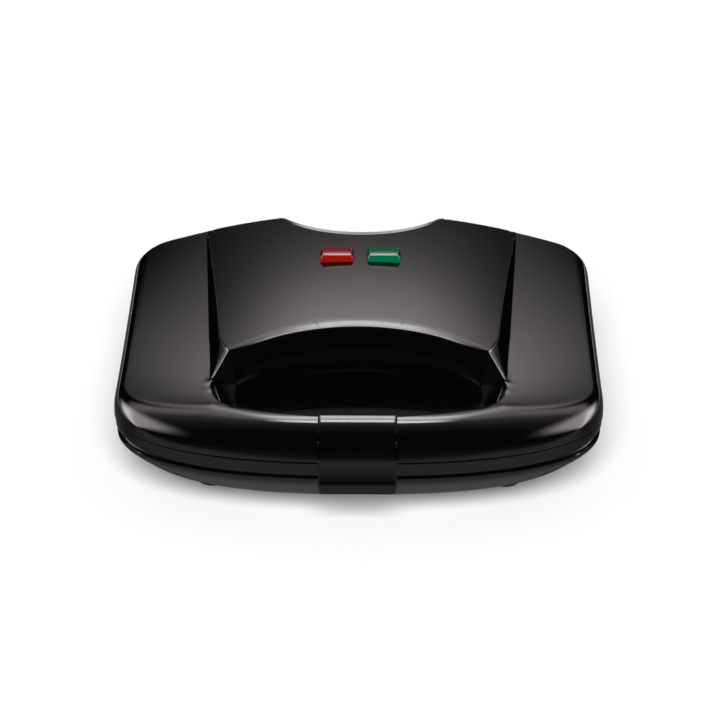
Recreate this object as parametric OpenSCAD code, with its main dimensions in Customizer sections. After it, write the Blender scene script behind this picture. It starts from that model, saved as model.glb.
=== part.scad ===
// Two-slice sandwich toaster: a hinged clamshell with a hand grip through its front and a latch.
// Millimetres, +Z up, the front towards -Y, the origin on the table under the middle of the part.

/* [Body] */
// Width over the sides
body_w = 245; // [235:1:270]
// Depth of the lid and base shells, without latch and hinge knuckles
body_d = 212; // [206:1:236]
// Height of the parting line between base and lid
parting_z = 39.5; // [38:0.5:46]
// Gap between the two shells at the parting line
parting_gap = 0.5; // [0.4:0.1:0.9]
// Wall of the moulded shells
wall = 2.4; // [2:0.1:3]
// Depth of the rounded front end
front_curve_d = 65; // [58:1:72]
// Squareness of the rounded front end, where 2 is an ellipse
front_power = 2.4; // [2.2:0.1:2.8]
// Radius of the rear corners
rear_corner_r = 22; // [16:1:28]
// Clearance round a piece that sits inside a shell
fit_gap = 0.3; // [0.2:0.05:0.5]

/* [Lid shape] */
// Height of the grip bar above the parting line
grip_h = 18; // [16:0.5:21]
// Depth of the rolled front edge of the grip bar
roll_d = 24; // [20:1:28]
// Radius of the rolled side and rear edges of the lid
side_roll = 9.5; // [7:0.5:12]
// Rise of the side wings from the grip to the rear edge
wing_rise = 19; // [14:0.5:21]
// Outward fall of the wings at the front, as a slope
wing_fall_front = 0.07; // [0.04:0.01:0.1]
// Outward fall of the wings at the rear, as a slope
wing_fall_rear = 0.2; // [0.12:0.01:0.24]
// Height of the hood above the parting line at the rear
hood_h = 49; // [46:0.5:56]
// Drop of the hood from its rear edge to its front lip
hood_drop = 6.7; // [4:0.1:9]
// Radius of the hood's crown from side to side
hood_crown_r = 335; // [300:5:420]
// Half width of the hood at the rear edge
hood_half_rear = 84; // [80:0.5:88]
// Half width of the hood beside the hand opening
hood_half_front = 73.7; // [71:0.1:78]
// Sideways lean of the hood's side walls, as a slope
hood_lean = 0.35; // [0.25:0.01:0.45]

/* [Hand opening] */
// Distance from the front edge to the hand opening
grip_bar_d = 16; // [14:0.5:18]
// Depth of the hand opening in front of its widest line
well_front = 32; // [28:0.5:34]
// Depth of the hand opening behind its widest line
well_rear = 20; // [16:0.5:22]
// Half width of the front curve of the hand opening
well_half = 72; // [66:1:74]
// Radius of the rear edge of the hand opening
well_rear_r = 110; // [100:1:130]
// Bevel of the lip over the hand opening
lip = 6; // [4:0.5:7]

/* [Cord recess] */
// Radius of the recess in the rear edge
notch_r = 53; // [48:1:58]
// Depth of the recess in the rear edge
notch_d = 21.5; // [16:0.5:23]
// Drop of the recess's sloped border below the hood
notch_border_drop = 3.4; // [2:0.1:5]
// Slope of the recess's border, in degrees
notch_border_slope = 14; // [10:1:20]

/* [Base shape] */
// Height of the feet, under the base
foot_h = 8; // [7:0.5:10]
// Diameter of a foot
foot_dia = 16; // [12:0.5:18]
// Depth of the shadow groove round the base
groove_d = 2; // [1:0.1:2.4]
// Height of the base band above the shadow groove
band_h = 4.6; // [4:0.1:6]
// Height of the shadow groove
groove_h = 3.6; // [2.5:0.1:4.2]

/* [Plates] */
// Distance from the cooking plates to the sides of the body
plate_side_gap = 16.5; // [15:0.5:20]
// Distance from the cooking plates to the rear of the body
plate_rear_gap = 29; // [28.5:0.5:36]
// Depth of the sandwich pockets
pocket_h = 11; // [9:0.5:12]
// Metal thickness of the plates
plate_t = 3; // [2.5:0.1:3.5]
// Width of the raised edge between the pockets
ridge_w = 7; // [5:0.5:9]
// Gap between the closed plates
plate_gap = 1.2; // [1:0.1:2]
// Diameter of the tubular heating elements
element_dia = 6.5; // [6:0.1:7]

/* [Hinge] */
// Diameter of the hinge pins
hinge_pin_d = 4; // [3:0.1:5]
// Radius of the hinge knuckles
knuckle_r = 6; // [5:0.1:6.5]
// Width of each lid knuckle
knuckle_w = 9.2; // [8:0.1:12]
// Width of each lug on the base
lug_w = 6; // [5:0.1:8]
// Distance of each hinge's middle from the centre line
hinge_x = 67; // [62:0.5:72]
// Height of the hinge axis above the parting line
hinge_rise = 4.5; // [4:0.1:6]
// Distance of the hinge axis behind the shells
hinge_back = 1; // [0.5:0.1:2]
// Radial running clearance of a pin
pin_play = 0.06; // [0.04:0.01:0.1]
// Side clearance between moving pieces
side_play = 0.4; // [0.3:0.05:0.6]

/* [Latch] */
// Width of the latch
latch_w = 37; // [30:1:42]
// Thickness of the latch plate
latch_t = 2.4; // [2:0.1:3]
// How far the latch stands proud of the grip
latch_proud = 0.8; // [0.5:0.1:1.2]
// How far the finger tab stands further forward
tab_proud = 2.2; // [1.5:0.1:2.6]
// Height of the finger tab
tab_h = 6; // [5:0.1:7]
// Height of the latch's lower end above the table
latch_low_z = 24; // [23:0.1:24.5]
// Gap on each side of the latch
latch_gap = 0.7; // [0.5:0.1:1.2]
// Diameter of the latch pin
latch_pin_d = 3; // [2.6:0.1:3.4]

/* [Pilot lamps] */
// Width of a lens at its foot
lens_w = 18; // [16:0.5:20]
// Depth of a lens at its foot
lens_d = 14; // [12:0.5:16]
// Height of a lens above the hood
lens_h = 3.2; // [2:0.1:4]
// Distance between the two lenses' middles
lens_pitch = 24.4; // [23:0.1:28]
// Distance of the lenses from the rear edge
lens_back = 60.7; // [58:0.1:66]

/* [Fasteners and cord inlet] */
// Thread diameter of the screws
screw_d = 3; // [2.5:0.1:3.5]
// Diameter of the supply cord that the gland takes
cord_d = 7; // [6:0.1:8]

/* [Hidden] */
$fn = 48;

shell_black = [0.07, 0.065, 0.07];
rubber_black = [0.12, 0.12, 0.12];
coat_grey = [0.2, 0.2, 0.21];
steel = [0.75, 0.76, 0.78];
ceramic = [0.9, 0.88, 0.82];

// Places along Y, with the latch tab and the hinge knuckles as the two ends of the part
knuckle_overhang = knuckle_r + hinge_back;
overall_d = body_d + latch_proud + tab_proud + knuckle_overhang;
front_y = latch_proud + tab_proud - overall_d / 2;
rear_y = front_y + body_d;
mid_y = (front_y + rear_y) / 2;
curve_y = front_y + front_curve_d;
well_y = front_y + grip_bar_d + well_front;
well_back_y = well_y + well_rear;
hinge_y = rear_y + hinge_back;
hinge_z = parting_z + hinge_rise;
notch_y = rear_y - notch_d + notch_r;
plate_front_y = well_back_y + wall + 2 * fit_gap + 2;
plate_w = body_w - 2 * plate_side_gap;
plate_d = rear_y - plate_rear_gap - plate_front_y;
plate_y = plate_front_y + plate_d / 2;

// Heights
lid_low_z = parting_z + parting_gap / 2;
base_top_z = parting_z - parting_gap / 2;
grip_top_z = parting_z + grip_h;
hood_top_z = parting_z + hood_h;
deck_t = 3;
base_wall = wall + groove_d + 0.8;

function lerp(a, b, t) = a + (b - a) * t;
function flatten(lists) = [for (list = lists) each list];
function sign_pow(v, p) = sign(v) * pow(abs(v), p);

// Closed solid through a stack of equal rings, with a point in the middle of each end
module loft(rings, low, high) {
    n = len(rings[0]);
    m = len(rings);
    sides = [for (j = [0 : m - 2], i = [0 : n - 1])
        let (k = (i + 1) % n, a = j * n + i, b = j * n + k)
        each [[a, a + n, b + n], [a, b + n, b]]];
    low_cap = [for (i = [0 : n - 1]) [i, (i + 1) % n, m * n]];
    high_cap = [for (i = [0 : n - 1]) [(m - 1) * n + (i + 1) % n, (m - 1) * n + i, m * n + 1]];
    polyhedron(concat(flatten(rings), [low, high]), concat(sides, low_cap, high_cap));
}

// Plan outline of the shells, anticlockwise from the right side
half_w = body_w / 2;
side_steps = 6;
rear_steps = 6;
side_right = [for (k = [0 : side_steps - 1])
    [half_w, lerp(curve_y, rear_y - rear_corner_r, k / side_steps)]];
corner_right = [for (a = [0 : 15 : 90])
    [half_w - rear_corner_r * (1 - cos(a)), rear_y - rear_corner_r * (1 - sin(a))]];
rear_edge = [for (k = [1 : rear_steps - 1])
    [lerp(half_w - rear_corner_r, rear_corner_r - half_w, k / rear_steps), rear_y]];
corner_left = [for (k = [len(corner_right) - 1 : -1 : 0]) [-corner_right[k][0], corner_right[k][1]]];
side_left = [for (k = [side_steps - 1 : -1 : 0]) [-half_w, side_right[k][1]]];
front_edge = [for (a = [185 : 5 : 355])
    [half_w * sign_pow(cos(a), 2 / front_power), curve_y + front_curve_d * sign_pow(sin(a), 2 / front_power)]];
outline = concat(side_right, corner_right, rear_edge, corner_left, side_left, front_edge);

function inset(p, d) = [p[0] * (1 - 2 * d / body_w), mid_y + (p[1] - mid_y) * (1 - 2 * d / body_d)];
function ring(d, z) = [for (p = outline) let (q = inset(p, d)) [q[0], q[1], z]];

module outline_2d(d) {
    polygon([for (p = outline) inset(p, d)]);
}

// Outer surface of the lid: side wings, and the hood that rises between them
wing_start_y = well_y - 17;
function wing_share(y) = max(0, (y - wing_start_y) / (rear_y - wing_start_y));
function crease_x(y) = lerp(hood_half_front, hood_half_rear, (y - well_y - 9) / (rear_y - well_y - 9));
function wing_z(x, y) = grip_top_z + wing_rise * pow(wing_share(y), 1.3)
    - lerp(wing_fall_front, wing_fall_rear, wing_share(y)) * max(0, abs(x) - crease_x(y));
hood_length = rear_y - well_back_y;
function hood_z(x, y) = hood_top_z - hood_drop * pow(max(0, rear_y - y) / hood_length, 1.6)
    - x * x / (2 * hood_crown_r);
hood_turn_y = well_back_y + 10;
function hood_step(y) = hood_z(crease_x(y), y) - wing_z(crease_x(y), y);
function hood_edge_x(y) = crease_x(y) - hood_lean * hood_step(y) - pow(max(0, hood_turn_y - y), 2) / 50;
function lid_top(x, y) = let (edge = hood_edge_x(y), crease = crease_x(y))
    y < well_y - 6 || abs(x) > crease ? wing_z(x, y)
    : abs(x) < edge ? hood_z(x, y)
    : lerp(hood_z(edge, y), wing_z(crease, y), (abs(x) - edge) / (crease - edge));

// Rolled edge of the lid: deep at the front, round at the sides
function front_share(y) = pow(min(1, max(0, (curve_y - y) / front_curve_d)), 1.5);
function roll_in(y) = lerp(side_roll, roll_d, front_share(y));
function roll_down(y) = lerp(side_roll, grip_h - parting_gap, front_share(y));
function wing_point(p, d, drop) = let (q = inset(p, d)) [q[0], q[1], wing_z(q[0], q[1]) - drop];

// Rings of the lid's flat inner field, as shares of the way to its middle
inner_shares = [0.13, 0.27, 0.65];

module wing_solid(shell, low_z) {
    foot = [for (p = outline) let (q = inset(p, shell)) [q[0], q[1], low_z]];
    rolled = [for (a = [0 : 15 : 90]) [for (p = outline)
        wing_point(p, shell + (roll_in(p[1]) - shell) * (1 - cos(a)),
            shell + (roll_down(p[1]) - shell) * (1 - sin(a)))]];
    inner = [for (s = inner_shares) [for (p = outline)
        let (q = inset(p, roll_in(p[1])), x = q[0] * (1 - s), y = lerp(q[1], mid_y, s))
        [x, y, wing_z(x, y) - shell]]];
    loft(concat([foot], rolled, inner), [0, mid_y, low_z], [0, mid_y, wing_z(0, mid_y) - shell]);
}

hood_setback = 1;
hood_front_y = well_y - 4;
hood_steps = 18;
crown_steps = 10;
function hood_section(y, shell, round_drop) =
    let (edge = hood_edge_x(y) - shell, top = hood_z(edge, y) - shell - round_drop,
        skirt = 10, foot_x = crease_x(y) + hood_lean * skirt - shell, foot_z = wing_z(crease_x(y), y) - skirt - shell)
    concat([[-foot_x, y, foot_z], [foot_x, y, foot_z]],
        [for (k = [0 : crown_steps]) let (x = lerp(edge, -edge, k / crown_steps))
            [x, y, hood_z(x, y) - shell - round_drop]]);

module hood_solid(shell) {
    back_y = rear_y - hood_setback - shell;
    back_round = 3;
    rounds = [for (a = [0 : 30 : 90])
        hood_section(back_y - back_round * (1 - cos(a)), shell, back_round * (1 - sin(a)))];
    stations = [for (k = [1 : hood_steps])
        hood_section(lerp(back_y - back_round, hood_front_y, k / hood_steps), shell, 0)];
    sections = concat(rounds, stations);
    last = sections[len(sections) - 1];
    loft(sections, [0, back_y, grip_top_z], [0, last[0][1], grip_top_z]);
}

// Hand opening: an arc at the rear joined to a fuller curve at the front
well_power = 2.2;
well_join = 14;
function well_arc(a) = let (c = well_rear_r - well_rear)
    sqrt(c * c * sin(a) * sin(a) + well_rear_r * well_rear_r - c * c) - c * sin(a);
function well_curve(a) = pow(pow(abs(cos(a)) / well_half, well_power)
    + pow(abs(sin(a)) / well_front, well_power), -1 / well_power);
function well_radius(a) = pow(pow(well_arc(a), -well_join) + pow(well_curve(a), -well_join), -1 / well_join);
function well_point(a, grow) = [(well_radius(a) + grow) * cos(a), well_y + (well_radius(a) + grow) * sin(a)];
well_angles = [for (k = [0 : 71]) k * 5];
function well_lip(a) = lerp(1, lip, min(1, max(0, sin(a) * 2 + 0.6)));
function well_lip_z(a) = let (p = well_point(a, well_lip(a))) lid_top(p[0], p[1]);
function well_ring(grow, flare, rise) = [for (a = well_angles)
    let (p = well_point(a, grow + flare * (well_lip(a) + 0.8)))
    [p[0], p[1], well_lip_z(a) - grow - (1 - flare) * well_lip(a) + flare * 0.8 + rise]];
function well_flat(grow, flare, z) = [for (p = well_ring(grow, flare, 0)) [p[0], p[1], z]];

module well_solid(grow) {
    low = -1;
    high = hood_top_z + 20;
    loft([well_flat(grow, 0, low), well_ring(grow, 0, 0), well_ring(grow, 1, 0), well_flat(grow, 1, high)],
        [0, well_y, low], [0, well_y, high]);
}

module well_2d(grow) {
    polygon([for (a = well_angles) well_point(a, grow)]);
}

module well_prism(grow, low_z, high_z) {
    translate([0, 0, low_z]) linear_extrude(high_z - low_z) well_2d(grow);
}

// Cord recess in the rear edge, with a sloped border in the lid
module notch_cylinder(grow, low_z, high_z) {
    translate([0, notch_y, low_z]) cylinder(r = notch_r + grow, h = high_z - low_z, $fn = 96);
}

module notch_border(grow) {
    reach = 40;
    translate([0, notch_y, hood_top_z - notch_border_drop - grow])
        cylinder(r1 = notch_r, r2 = notch_r + reach, h = reach * tan(notch_border_slope), $fn = 96);
}

// Slot for the latch in the lid and the base
slot_half = latch_w / 2 + latch_gap;
pivot_y = front_y + 8.5;
pivot_z = parting_z + 6;
pivot_post_r = 2.9;
post_w = 4;
post_x = slot_half + fit_gap;
grip_wall_y = front_y + grip_bar_d - wall;

module slot_box(y0, y1, z0, z1, grow) {
    translate([-slot_half - grow, y0, z0]) cube([2 * (slot_half + grow), y1 - y0, z1 - z0]);
}

// Hinges: two lugs on the base with a lid knuckle between them, on each side
lug_out = knuckle_w / 2 + side_play + lug_w;

module both_sides() {
    children();
    mirror([1, 0, 0]) children();
}

module along_x(x, y, z, r, length) {
    translate([x - length / 2, y, z]) rotate([0, 90, 0]) cylinder(r = r, h = length);
}

module hinge_lugs() {
    lug_low = parting_z - 17;
    both_sides() for (side = [-1, 1]) {
        x = hinge_x + side * (knuckle_w / 2 + side_play + lug_w / 2);
        difference() {
            union() {
                along_x(x, hinge_y, hinge_z, knuckle_r, lug_w);
                translate([x - lug_w / 2, hinge_y - knuckle_r, lug_low])
                    cube([lug_w, 2 * knuckle_r, hinge_z - lug_low]);
            }
            along_x(x, hinge_y, hinge_z, hinge_pin_d / 2 + pin_play, lug_w + 2);
        }
    }
}

module hinge_space(grow, z0) {
    both_sides() translate([hinge_x - lug_out - grow, hinge_y - knuckle_r - grow, z0])
        cube([2 * (lug_out + grow), 30, hinge_z + knuckle_r + grow - z0]);
}

// Screw posts: two beside the hand opening and two behind the plates
post_r = 4.6;
post_front = [plate_w * 0.396, well_y - 2];
post_rear = [plate_w * 0.425, rear_y - plate_rear_gap * 0.55];
posts = [post_front, post_rear];
module at_posts() {
    both_sides() for (p = posts) translate([p[0], p[1], 0]) children();
}

// Screw with its head at z = 0 and its shank upwards
module screw(length) {
    head_r = screw_d * 0.95;
    difference() {
        cylinder(r = head_r, h = 2);
        for (turn = [0, 90]) rotate([0, 0, turn])
            translate([-head_r * 0.6, -0.4, -0.1]) cube([head_r * 1.2, 0.8, 1.1]);
    }
    translate([0, 0, 2]) cylinder(d = screw_d, h = length - 2);
}

// ---------------------------------------------------------------- base

under_z = foot_h;
band_low_z = base_top_z - band_h;
groove_low_z = band_low_z - groove_h;
bowl_in = 34;
base_profile = [[bowl_in, under_z], [26, under_z + 2.5], [16, under_z + 7], [8, groove_low_z - 9.3],
    [3.4, groove_low_z - 4.8], [1.6, groove_low_z - 2.3], [1.2, groove_low_z], [groove_d + 0.6, groove_low_z + 0.2],
    [groove_d + 0.6, band_low_z - 0.2], [0.6, band_low_z], [0.3, base_top_z]];
base_cavity = [[bowl_in - wall, under_z + wall], [26, under_z + 2.5 + wall], [17, under_z + 8 + wall],
    [10.4, groove_low_z - 8], [6.6, groove_low_z - 3.6], [base_wall, groove_low_z - 1.6], [base_wall, base_top_z + 1]];
catch_front_y = front_y + 4.4;
catch_back_y = front_y + 8.2;
catch_z = latch_low_z + 4;
gland_y = rear_y - notch_d;
gland_r = cord_d / 2 + 3;
gland_lip = 2;
gland_boss = 5;
gland_rise = 14;
gland_z = under_z + gland_rise;
clamp_x = cord_d / 2 + screw_d + 0.8;
clamp_y = gland_y - 10.7;
hole_r = screw_d / 2 + pin_play;

module base_solid() {
    loft([for (s = base_profile) ring(s[0], s[1])], [0, mid_y, under_z], [0, mid_y, base_top_z]);
}

module base_inside() {
    loft([for (s = base_cavity) ring(s[0], s[1])], [0, mid_y, under_z + wall], [0, mid_y, base_top_z + 1]);
}

module base_housing() {
    color(shell_black) difference() {
        union() {
            difference() {
                base_solid();
                difference() {
                    base_inside();
                    well_prism(wall, -1, parting_z + 5);
                    notch_cylinder(wall, -1, parting_z + 5);
                    slot_box(front_y - 1, catch_back_y + wall, -1, parting_z + 5, wall);
                    at_posts() cylinder(r = post_r, h = base_top_z - deck_t);
                    both_sides() translate([clamp_x, clamp_y, 0]) cylinder(r = screw_d, h = gland_z);
                    along_y(gland_y - gland_boss, gland_y + 5, gland_r + 3);
                }
            }
            hinge_lugs();
        }
        well_prism(0, -2, parting_z + 6);
        notch_cylinder(0, -2, parting_z + 6);
        slot_box(front_y - 5, catch_front_y, -2, parting_z + 6, 0);
        slot_box(front_y - 5, catch_back_y, -2, catch_z, 0);
        both_sides() along_x(hinge_x, hinge_y, hinge_z, knuckle_r + side_play, knuckle_w + 2 * side_play);
        along_y(gland_y - 20, gland_y + 20, gland_r + pin_play);
        at_posts() translate([0, 0, -1]) cylinder(r = hole_r, h = parting_z);
        at_posts() translate([0, 0, -1]) cylinder(r = screw_d + 0.4, h = base_screw_z + 3);
        both_sides() translate([clamp_x, clamp_y, gland_z - 9]) cylinder(r = hole_r, h = 20);
        at_feet() translate([0, 0, under_z - 1]) cylinder(d = foot_plug_d + 2 * pin_play, h = wall + 2);
    }
}

// Rubber feet: a disc with a plug that stops in the base's floor
foot_plug_d = 6;
foot_x = body_w * 0.302;
foot_front_y = curve_y - 3;
foot_rear_y = rear_y - body_d * 0.217;

module at_feet() {
    both_sides() for (y = [foot_front_y, foot_rear_y]) translate([foot_x, y, 0]) children();
}

module feet() {
    color(rubber_black) at_feet() {
        cylinder(d1 = foot_dia - 2, d2 = foot_dia, h = 1.5);
        translate([0, 0, 1.5]) cylinder(d = foot_dia, h = foot_h - 1.5);
        cylinder(d = foot_plug_d, h = foot_h + wall);
    }
}

base_screw_z = base_top_z - deck_t - 10;

module base_screws() {
    color(steel) {
        at_posts() translate([0, 0, base_screw_z]) screw(11.5);
        both_sides() translate([clamp_x, clamp_y, gland_z + clamp_h + 2]) mirror([0, 0, 1]) screw(clamp_h + 8);
    }
}

// Cord gland: a rubber ring with a flange inside and outside the recess's wall
module along_y(y0, y1, r) {
    translate([0, y0, gland_z]) rotate([-90, 0, 0]) cylinder(r = r, h = y1 - y0);
}

module cord_gland() {
    outside = gland_y + 1;
    color(rubber_black) difference() {
        union() {
            along_y(gland_y - gland_boss - gland_lip, outside + gland_lip, gland_r);
            along_y(gland_y - gland_boss - gland_lip, gland_y - gland_boss, gland_r + gland_lip);
            along_y(outside, outside + gland_lip, gland_r + gland_lip);
        }
        along_y(gland_y - 20, gland_y + 20, cord_d / 2 + 0.1);
    }
}

// Clamp strap over the cord, on two posts of the base
clamp_h = 5.5;

module cable_clamp() {
    clamp_d = 6;
    clamp_half = clamp_x + 3.5;
    color(coat_grey) difference() {
        translate([-clamp_half, clamp_y - clamp_d / 2, gland_z]) cube([2 * clamp_half, clamp_d, clamp_h]);
        along_y(clamp_y - clamp_d, clamp_y + clamp_d, cord_d / 2 + 0.1);
        both_sides() translate([clamp_x, clamp_y, gland_z - 1]) cylinder(r = hole_r, h = clamp_h + 2);
    }
}

module terminal_block() {
    size = [24, 12, 10];
    block_x = -plate_w * 0.16;
    block_y = clamp_y - size[1] + 1;
    wire_r = 1.8;
    clamp_screw_r = 1.6;
    pole = size[0] / 4;
    color(ceramic) translate([block_x - size[0] / 2, block_y, under_z + wall]) difference() {
        cube(size);
        for (k = [-1, 1]) translate([size[0] / 2 + k * pole, -1, size[2] / 2])
            rotate([-90, 0, 0]) cylinder(r = wire_r, h = size[1] + 2);
        for (k = [-1, 1]) translate([size[0] / 2 + k * pole, size[1] / 2, size[2] / 2])
            cylinder(r = clamp_screw_r, h = size[2]);
    }
}

module frame_deck(edge, z0, z1) {
    difference() {
        translate([0, 0, z0]) linear_extrude(z1 - z0) difference() {
            outline_2d(edge + fit_gap);
            well_2d(wall + fit_gap);
            translate([-(plate_w / 2 + fit_gap), plate_front_y - fit_gap])
                square([plate_w + 2 * fit_gap, plate_d + 2 * fit_gap]);
        }
        notch_cylinder(wall + fit_gap, z0 - 1, z1 + 1);
    }
}

module base_frame() {
    color(shell_black) difference() {
        frame_deck(base_wall, base_top_z - deck_t, base_top_z);
        slot_box(front_y - 1, catch_back_y + wall + fit_gap, 0, parting_z + 5, wall + fit_gap);
        hinge_space(fit_gap + side_play, 0);
        at_posts() translate([0, 0, parting_z - 20]) cylinder(r = hole_r, h = 40);
        at_ears() translate([0, 0, parting_z - 20]) cylinder(r = hole_r, h = 20 - deck_t / 4);
    }
}

// ---------------------------------------------------------------- cooking plates

pocket_w = plate_w / 2 - 1.5 * ridge_w;
pocket_d = plate_d - 2 * ridge_w;

// One triangular half of a square pocket, open upwards at z = 0
module pocket_half(turn) {
    a = [pocket_w / 2, pocket_d / 2];
    cut = ridge_w * 0.75;
    mid = [-a[0] / 3, -a[1] / 3];
    rotate([0, 0, turn]) translate([mid[0], mid[1], 0]) mirror([0, 0, 1])
        linear_extrude(pocket_h, scale = 0.72) translate([-mid[0], -mid[1]])
        polygon([[-a[0], -a[1]], [a[0] - cut * 2, -a[1]], [-a[0], a[1] - cut * 2]]);
}

// Ears that the plate is screwed to its frame by, on the hidden side of the frame
ear_w = 11;
ear_d = 8;
ear_drop = deck_t + parting_gap / 2 - plate_gap / 2;
pillar_x = plate_w / 4 - ridge_w / 8;

module at_ears() {
    both_sides() for (y = [plate_front_y - ear_d / 2, plate_front_y + plate_d + ear_d / 2])
        translate([pillar_x, y, 0]) children();
}

module plate_body() {
    tub = plate_t;
    difference() {
        union() {
            translate([0, -plate_y, -ear_drop - plate_t]) at_ears()
                translate([-ear_w / 2, -ear_d / 2 - 1, 0]) cube([ear_w, ear_d + 2, plate_t]);
            both_sides() translate([pillar_x, 0, 1 - reflector_gap]) cylinder(r = screw_d, h = 12);
            translate([-plate_w / 2, -plate_d / 2, -plate_t]) cube([plate_w, plate_d, plate_t]);
            for (side = [-1, 1]) translate([side * pillar_x, 0, 0])
                translate([-pocket_w / 2, -pocket_d / 2, -pocket_h - tub])
                cube([pocket_w, pocket_d, pocket_h + tub - 0.5]);
        }
        for (side = [-1, 1]) translate([side * pillar_x, 0, 0.01]) {
            pocket_half(0);
            pocket_half(180);
        }
        translate([0, -plate_y, -20]) at_ears() cylinder(r = hole_r, h = 30);
        both_sides() translate([pillar_x, 0, -reflector_gap - 1]) cylinder(r = hole_r, h = 10);
    }
}

lower_rim_z = parting_z - plate_gap / 2;
upper_rim_z = parting_z + plate_gap / 2;
plate_under = pocket_h + plate_t;

module lower_plate() {
    color(coat_grey) translate([0, plate_y, lower_rim_z]) plate_body();
}

module upper_plate() {
    color(coat_grey) translate([0, plate_y, upper_rim_z]) mirror([0, 0, 1]) plate_body();
}

// Tubular element: a loop with round corners, open at the rear where its two ends turn
loop_w = plate_w * 0.604;
loop_d = plate_d * 0.545;
loop_r = loop_d * 0.27;
loop_end = 2 * element_dia;

module quarter(x, y, turn) {
    translate([x, y, 0]) rotate([0, 0, turn])
        rotate_extrude(angle = 90) translate([loop_r, 0]) circle(d = element_dia);
}

module tube_x(x0, x1, y) {
    translate([x0, y, 0]) rotate([0, 90, 0]) cylinder(d = element_dia, h = x1 - x0);
}

module tube_y(x, y0, y1) {
    translate([x, y0, 0]) rotate([-90, 0, 0]) cylinder(d = element_dia, h = y1 - y0);
}

module element_loop() {
    x = loop_w / 2 - loop_r;
    y = loop_d / 2 - loop_r;
    tube_x(-x, x, -y - loop_r);
    both_sides() {
        quarter(x, -y, -90);
        tube_y(x + loop_r, -y, y);
        quarter(x, y, 0);
        tube_x(loop_end, x, y + loop_r);
        translate([loop_end - element_dia, y + loop_r, 0])
            rotate([0, 90, 0]) cylinder(d = element_dia / 2, h = element_dia + 1);
    }
}

element_drop = plate_under + element_dia / 2;

module lower_element() {
    color(steel) translate([0, plate_y, lower_rim_z - element_drop]) element_loop();
}

module upper_element() {
    color(steel) translate([0, plate_y, upper_rim_z + element_drop]) element_loop();
}

// Bright steel reflector: a shallow tray with a hole for the plate screws' pillars
reflector_w = loop_w + 2 * element_dia;
reflector_d = loop_d + 2 * element_dia;
reflector_t = 0.6;
reflector_rim = 5;

module reflector_tray() {
    difference() {
        translate([-reflector_w / 2, -reflector_d / 2, 0]) cube([reflector_w, reflector_d, reflector_rim]);
        translate([-reflector_w / 2 + reflector_t, -reflector_d / 2 + reflector_t, reflector_t])
            cube([reflector_w - 2 * reflector_t, reflector_d - 2 * reflector_t, reflector_rim]);
        both_sides() translate([pillar_x, 0, -1]) cylinder(r = hole_r, h = 4);
        translate([sensor_x, 0, -1]) cylinder(d = sensor_d + 3, h = 4);
    }
}

reflector_gap = element_drop + element_dia / 2 + fit_gap + reflector_t;
sensor_x = -pillar_x * 0.58;
sensor_d = 19;

module lower_reflector() {
    color(steel) translate([0, plate_y, lower_rim_z - reflector_gap]) reflector_tray();
}

module upper_reflector() {
    color(steel) translate([0, plate_y, upper_rim_z + reflector_gap]) mirror([0, 0, 1]) reflector_tray();
}

// Screws of one plate in its own frame: four through the ears, two through the reflector
module plate_screws() {
    translate([0, -plate_y, -ear_drop - plate_t - 2]) at_ears() screw(2 + plate_t + deck_t / 2);
    both_sides() translate([pillar_x, 0, -reflector_gap - 2]) screw(9);
}

module lower_plate_screws() {
    color(steel) translate([0, plate_y, lower_rim_z]) plate_screws();
}

module upper_plate_screws() {
    color(steel) translate([0, plate_y, upper_rim_z]) mirror([0, 0, 1]) plate_screws();
}

// Disc thermostat on the back of the upper plate
module thermostat() {
    can_h = 9;
    dimple_d = 4;
    blade = [0.8, 6, 7];
    blade_x = 6;
    color(ceramic) translate([sensor_x, plate_y, upper_rim_z + plate_under]) {
        difference() {
            cylinder(d = sensor_d, h = can_h);
            translate([0, 0, can_h - 2]) cylinder(d = dimple_d, h = can_h);
        }
        for (side = [-1, 1]) translate([side * blade_x - blade[0] / 2, -blade[1] / 2, can_h - 0.5]) cube(blade);
    }
}

// Thermal fuse in its sleeve under the lower plate
module thermal_fuse() {
    sleeve_r = 2.6;
    sleeve_l = 14;
    lead_r = 0.5;
    lead_l = 22;
    z = lower_rim_z - plate_under - sleeve_r;
    color(ceramic) {
        along_x(sensor_x, plate_y, z, sleeve_r, sleeve_l);
        along_x(sensor_x, plate_y, z, lead_r, lead_l);
    }
}

// ---------------------------------------------------------------- lid

function lens_z(y) = hood_z(lens_pitch / 2, y);
lens_y = rear_y - lens_back;

module lid_cover() {
    color(shell_black) difference() {
        union() {
            wing_solid(0, lid_low_z);
            hood_solid(0);
        }
        difference() {
            union() {
                wing_solid(wall, lid_low_z - 1);
                hood_solid(wall);
            }
            well_solid(wall);
            notch_cylinder(wall, 0, hood_top_z + 20);
            notch_border(wall);
            at_posts() translate([0, 0, lid_low_z + deck_t]) cylinder(r = post_r, h = hood_h);
        }
        well_solid(0);
        notch_cylinder(0, 0, hood_top_z + 20);
        notch_border(0);
        slot_box(front_y - 5, grip_wall_y - fit_gap, 0, hood_top_z, 0);
        slot_box(front_y - 5, well_y, pivot_z + 2, hood_top_z, 0);
        hinge_space(0.8, 0);
        at_posts() cylinder(r = hole_r, h = lid_low_z + lid_screw_l + fit_gap);
        for (side = [-1, 1]) translate([side * lens_pitch / 2, lens_y, hood_top_z - 15])
            linear_extrude(20) square([lens_w + fit_gap, lens_d + fit_gap], center = true);
    }
}

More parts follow.
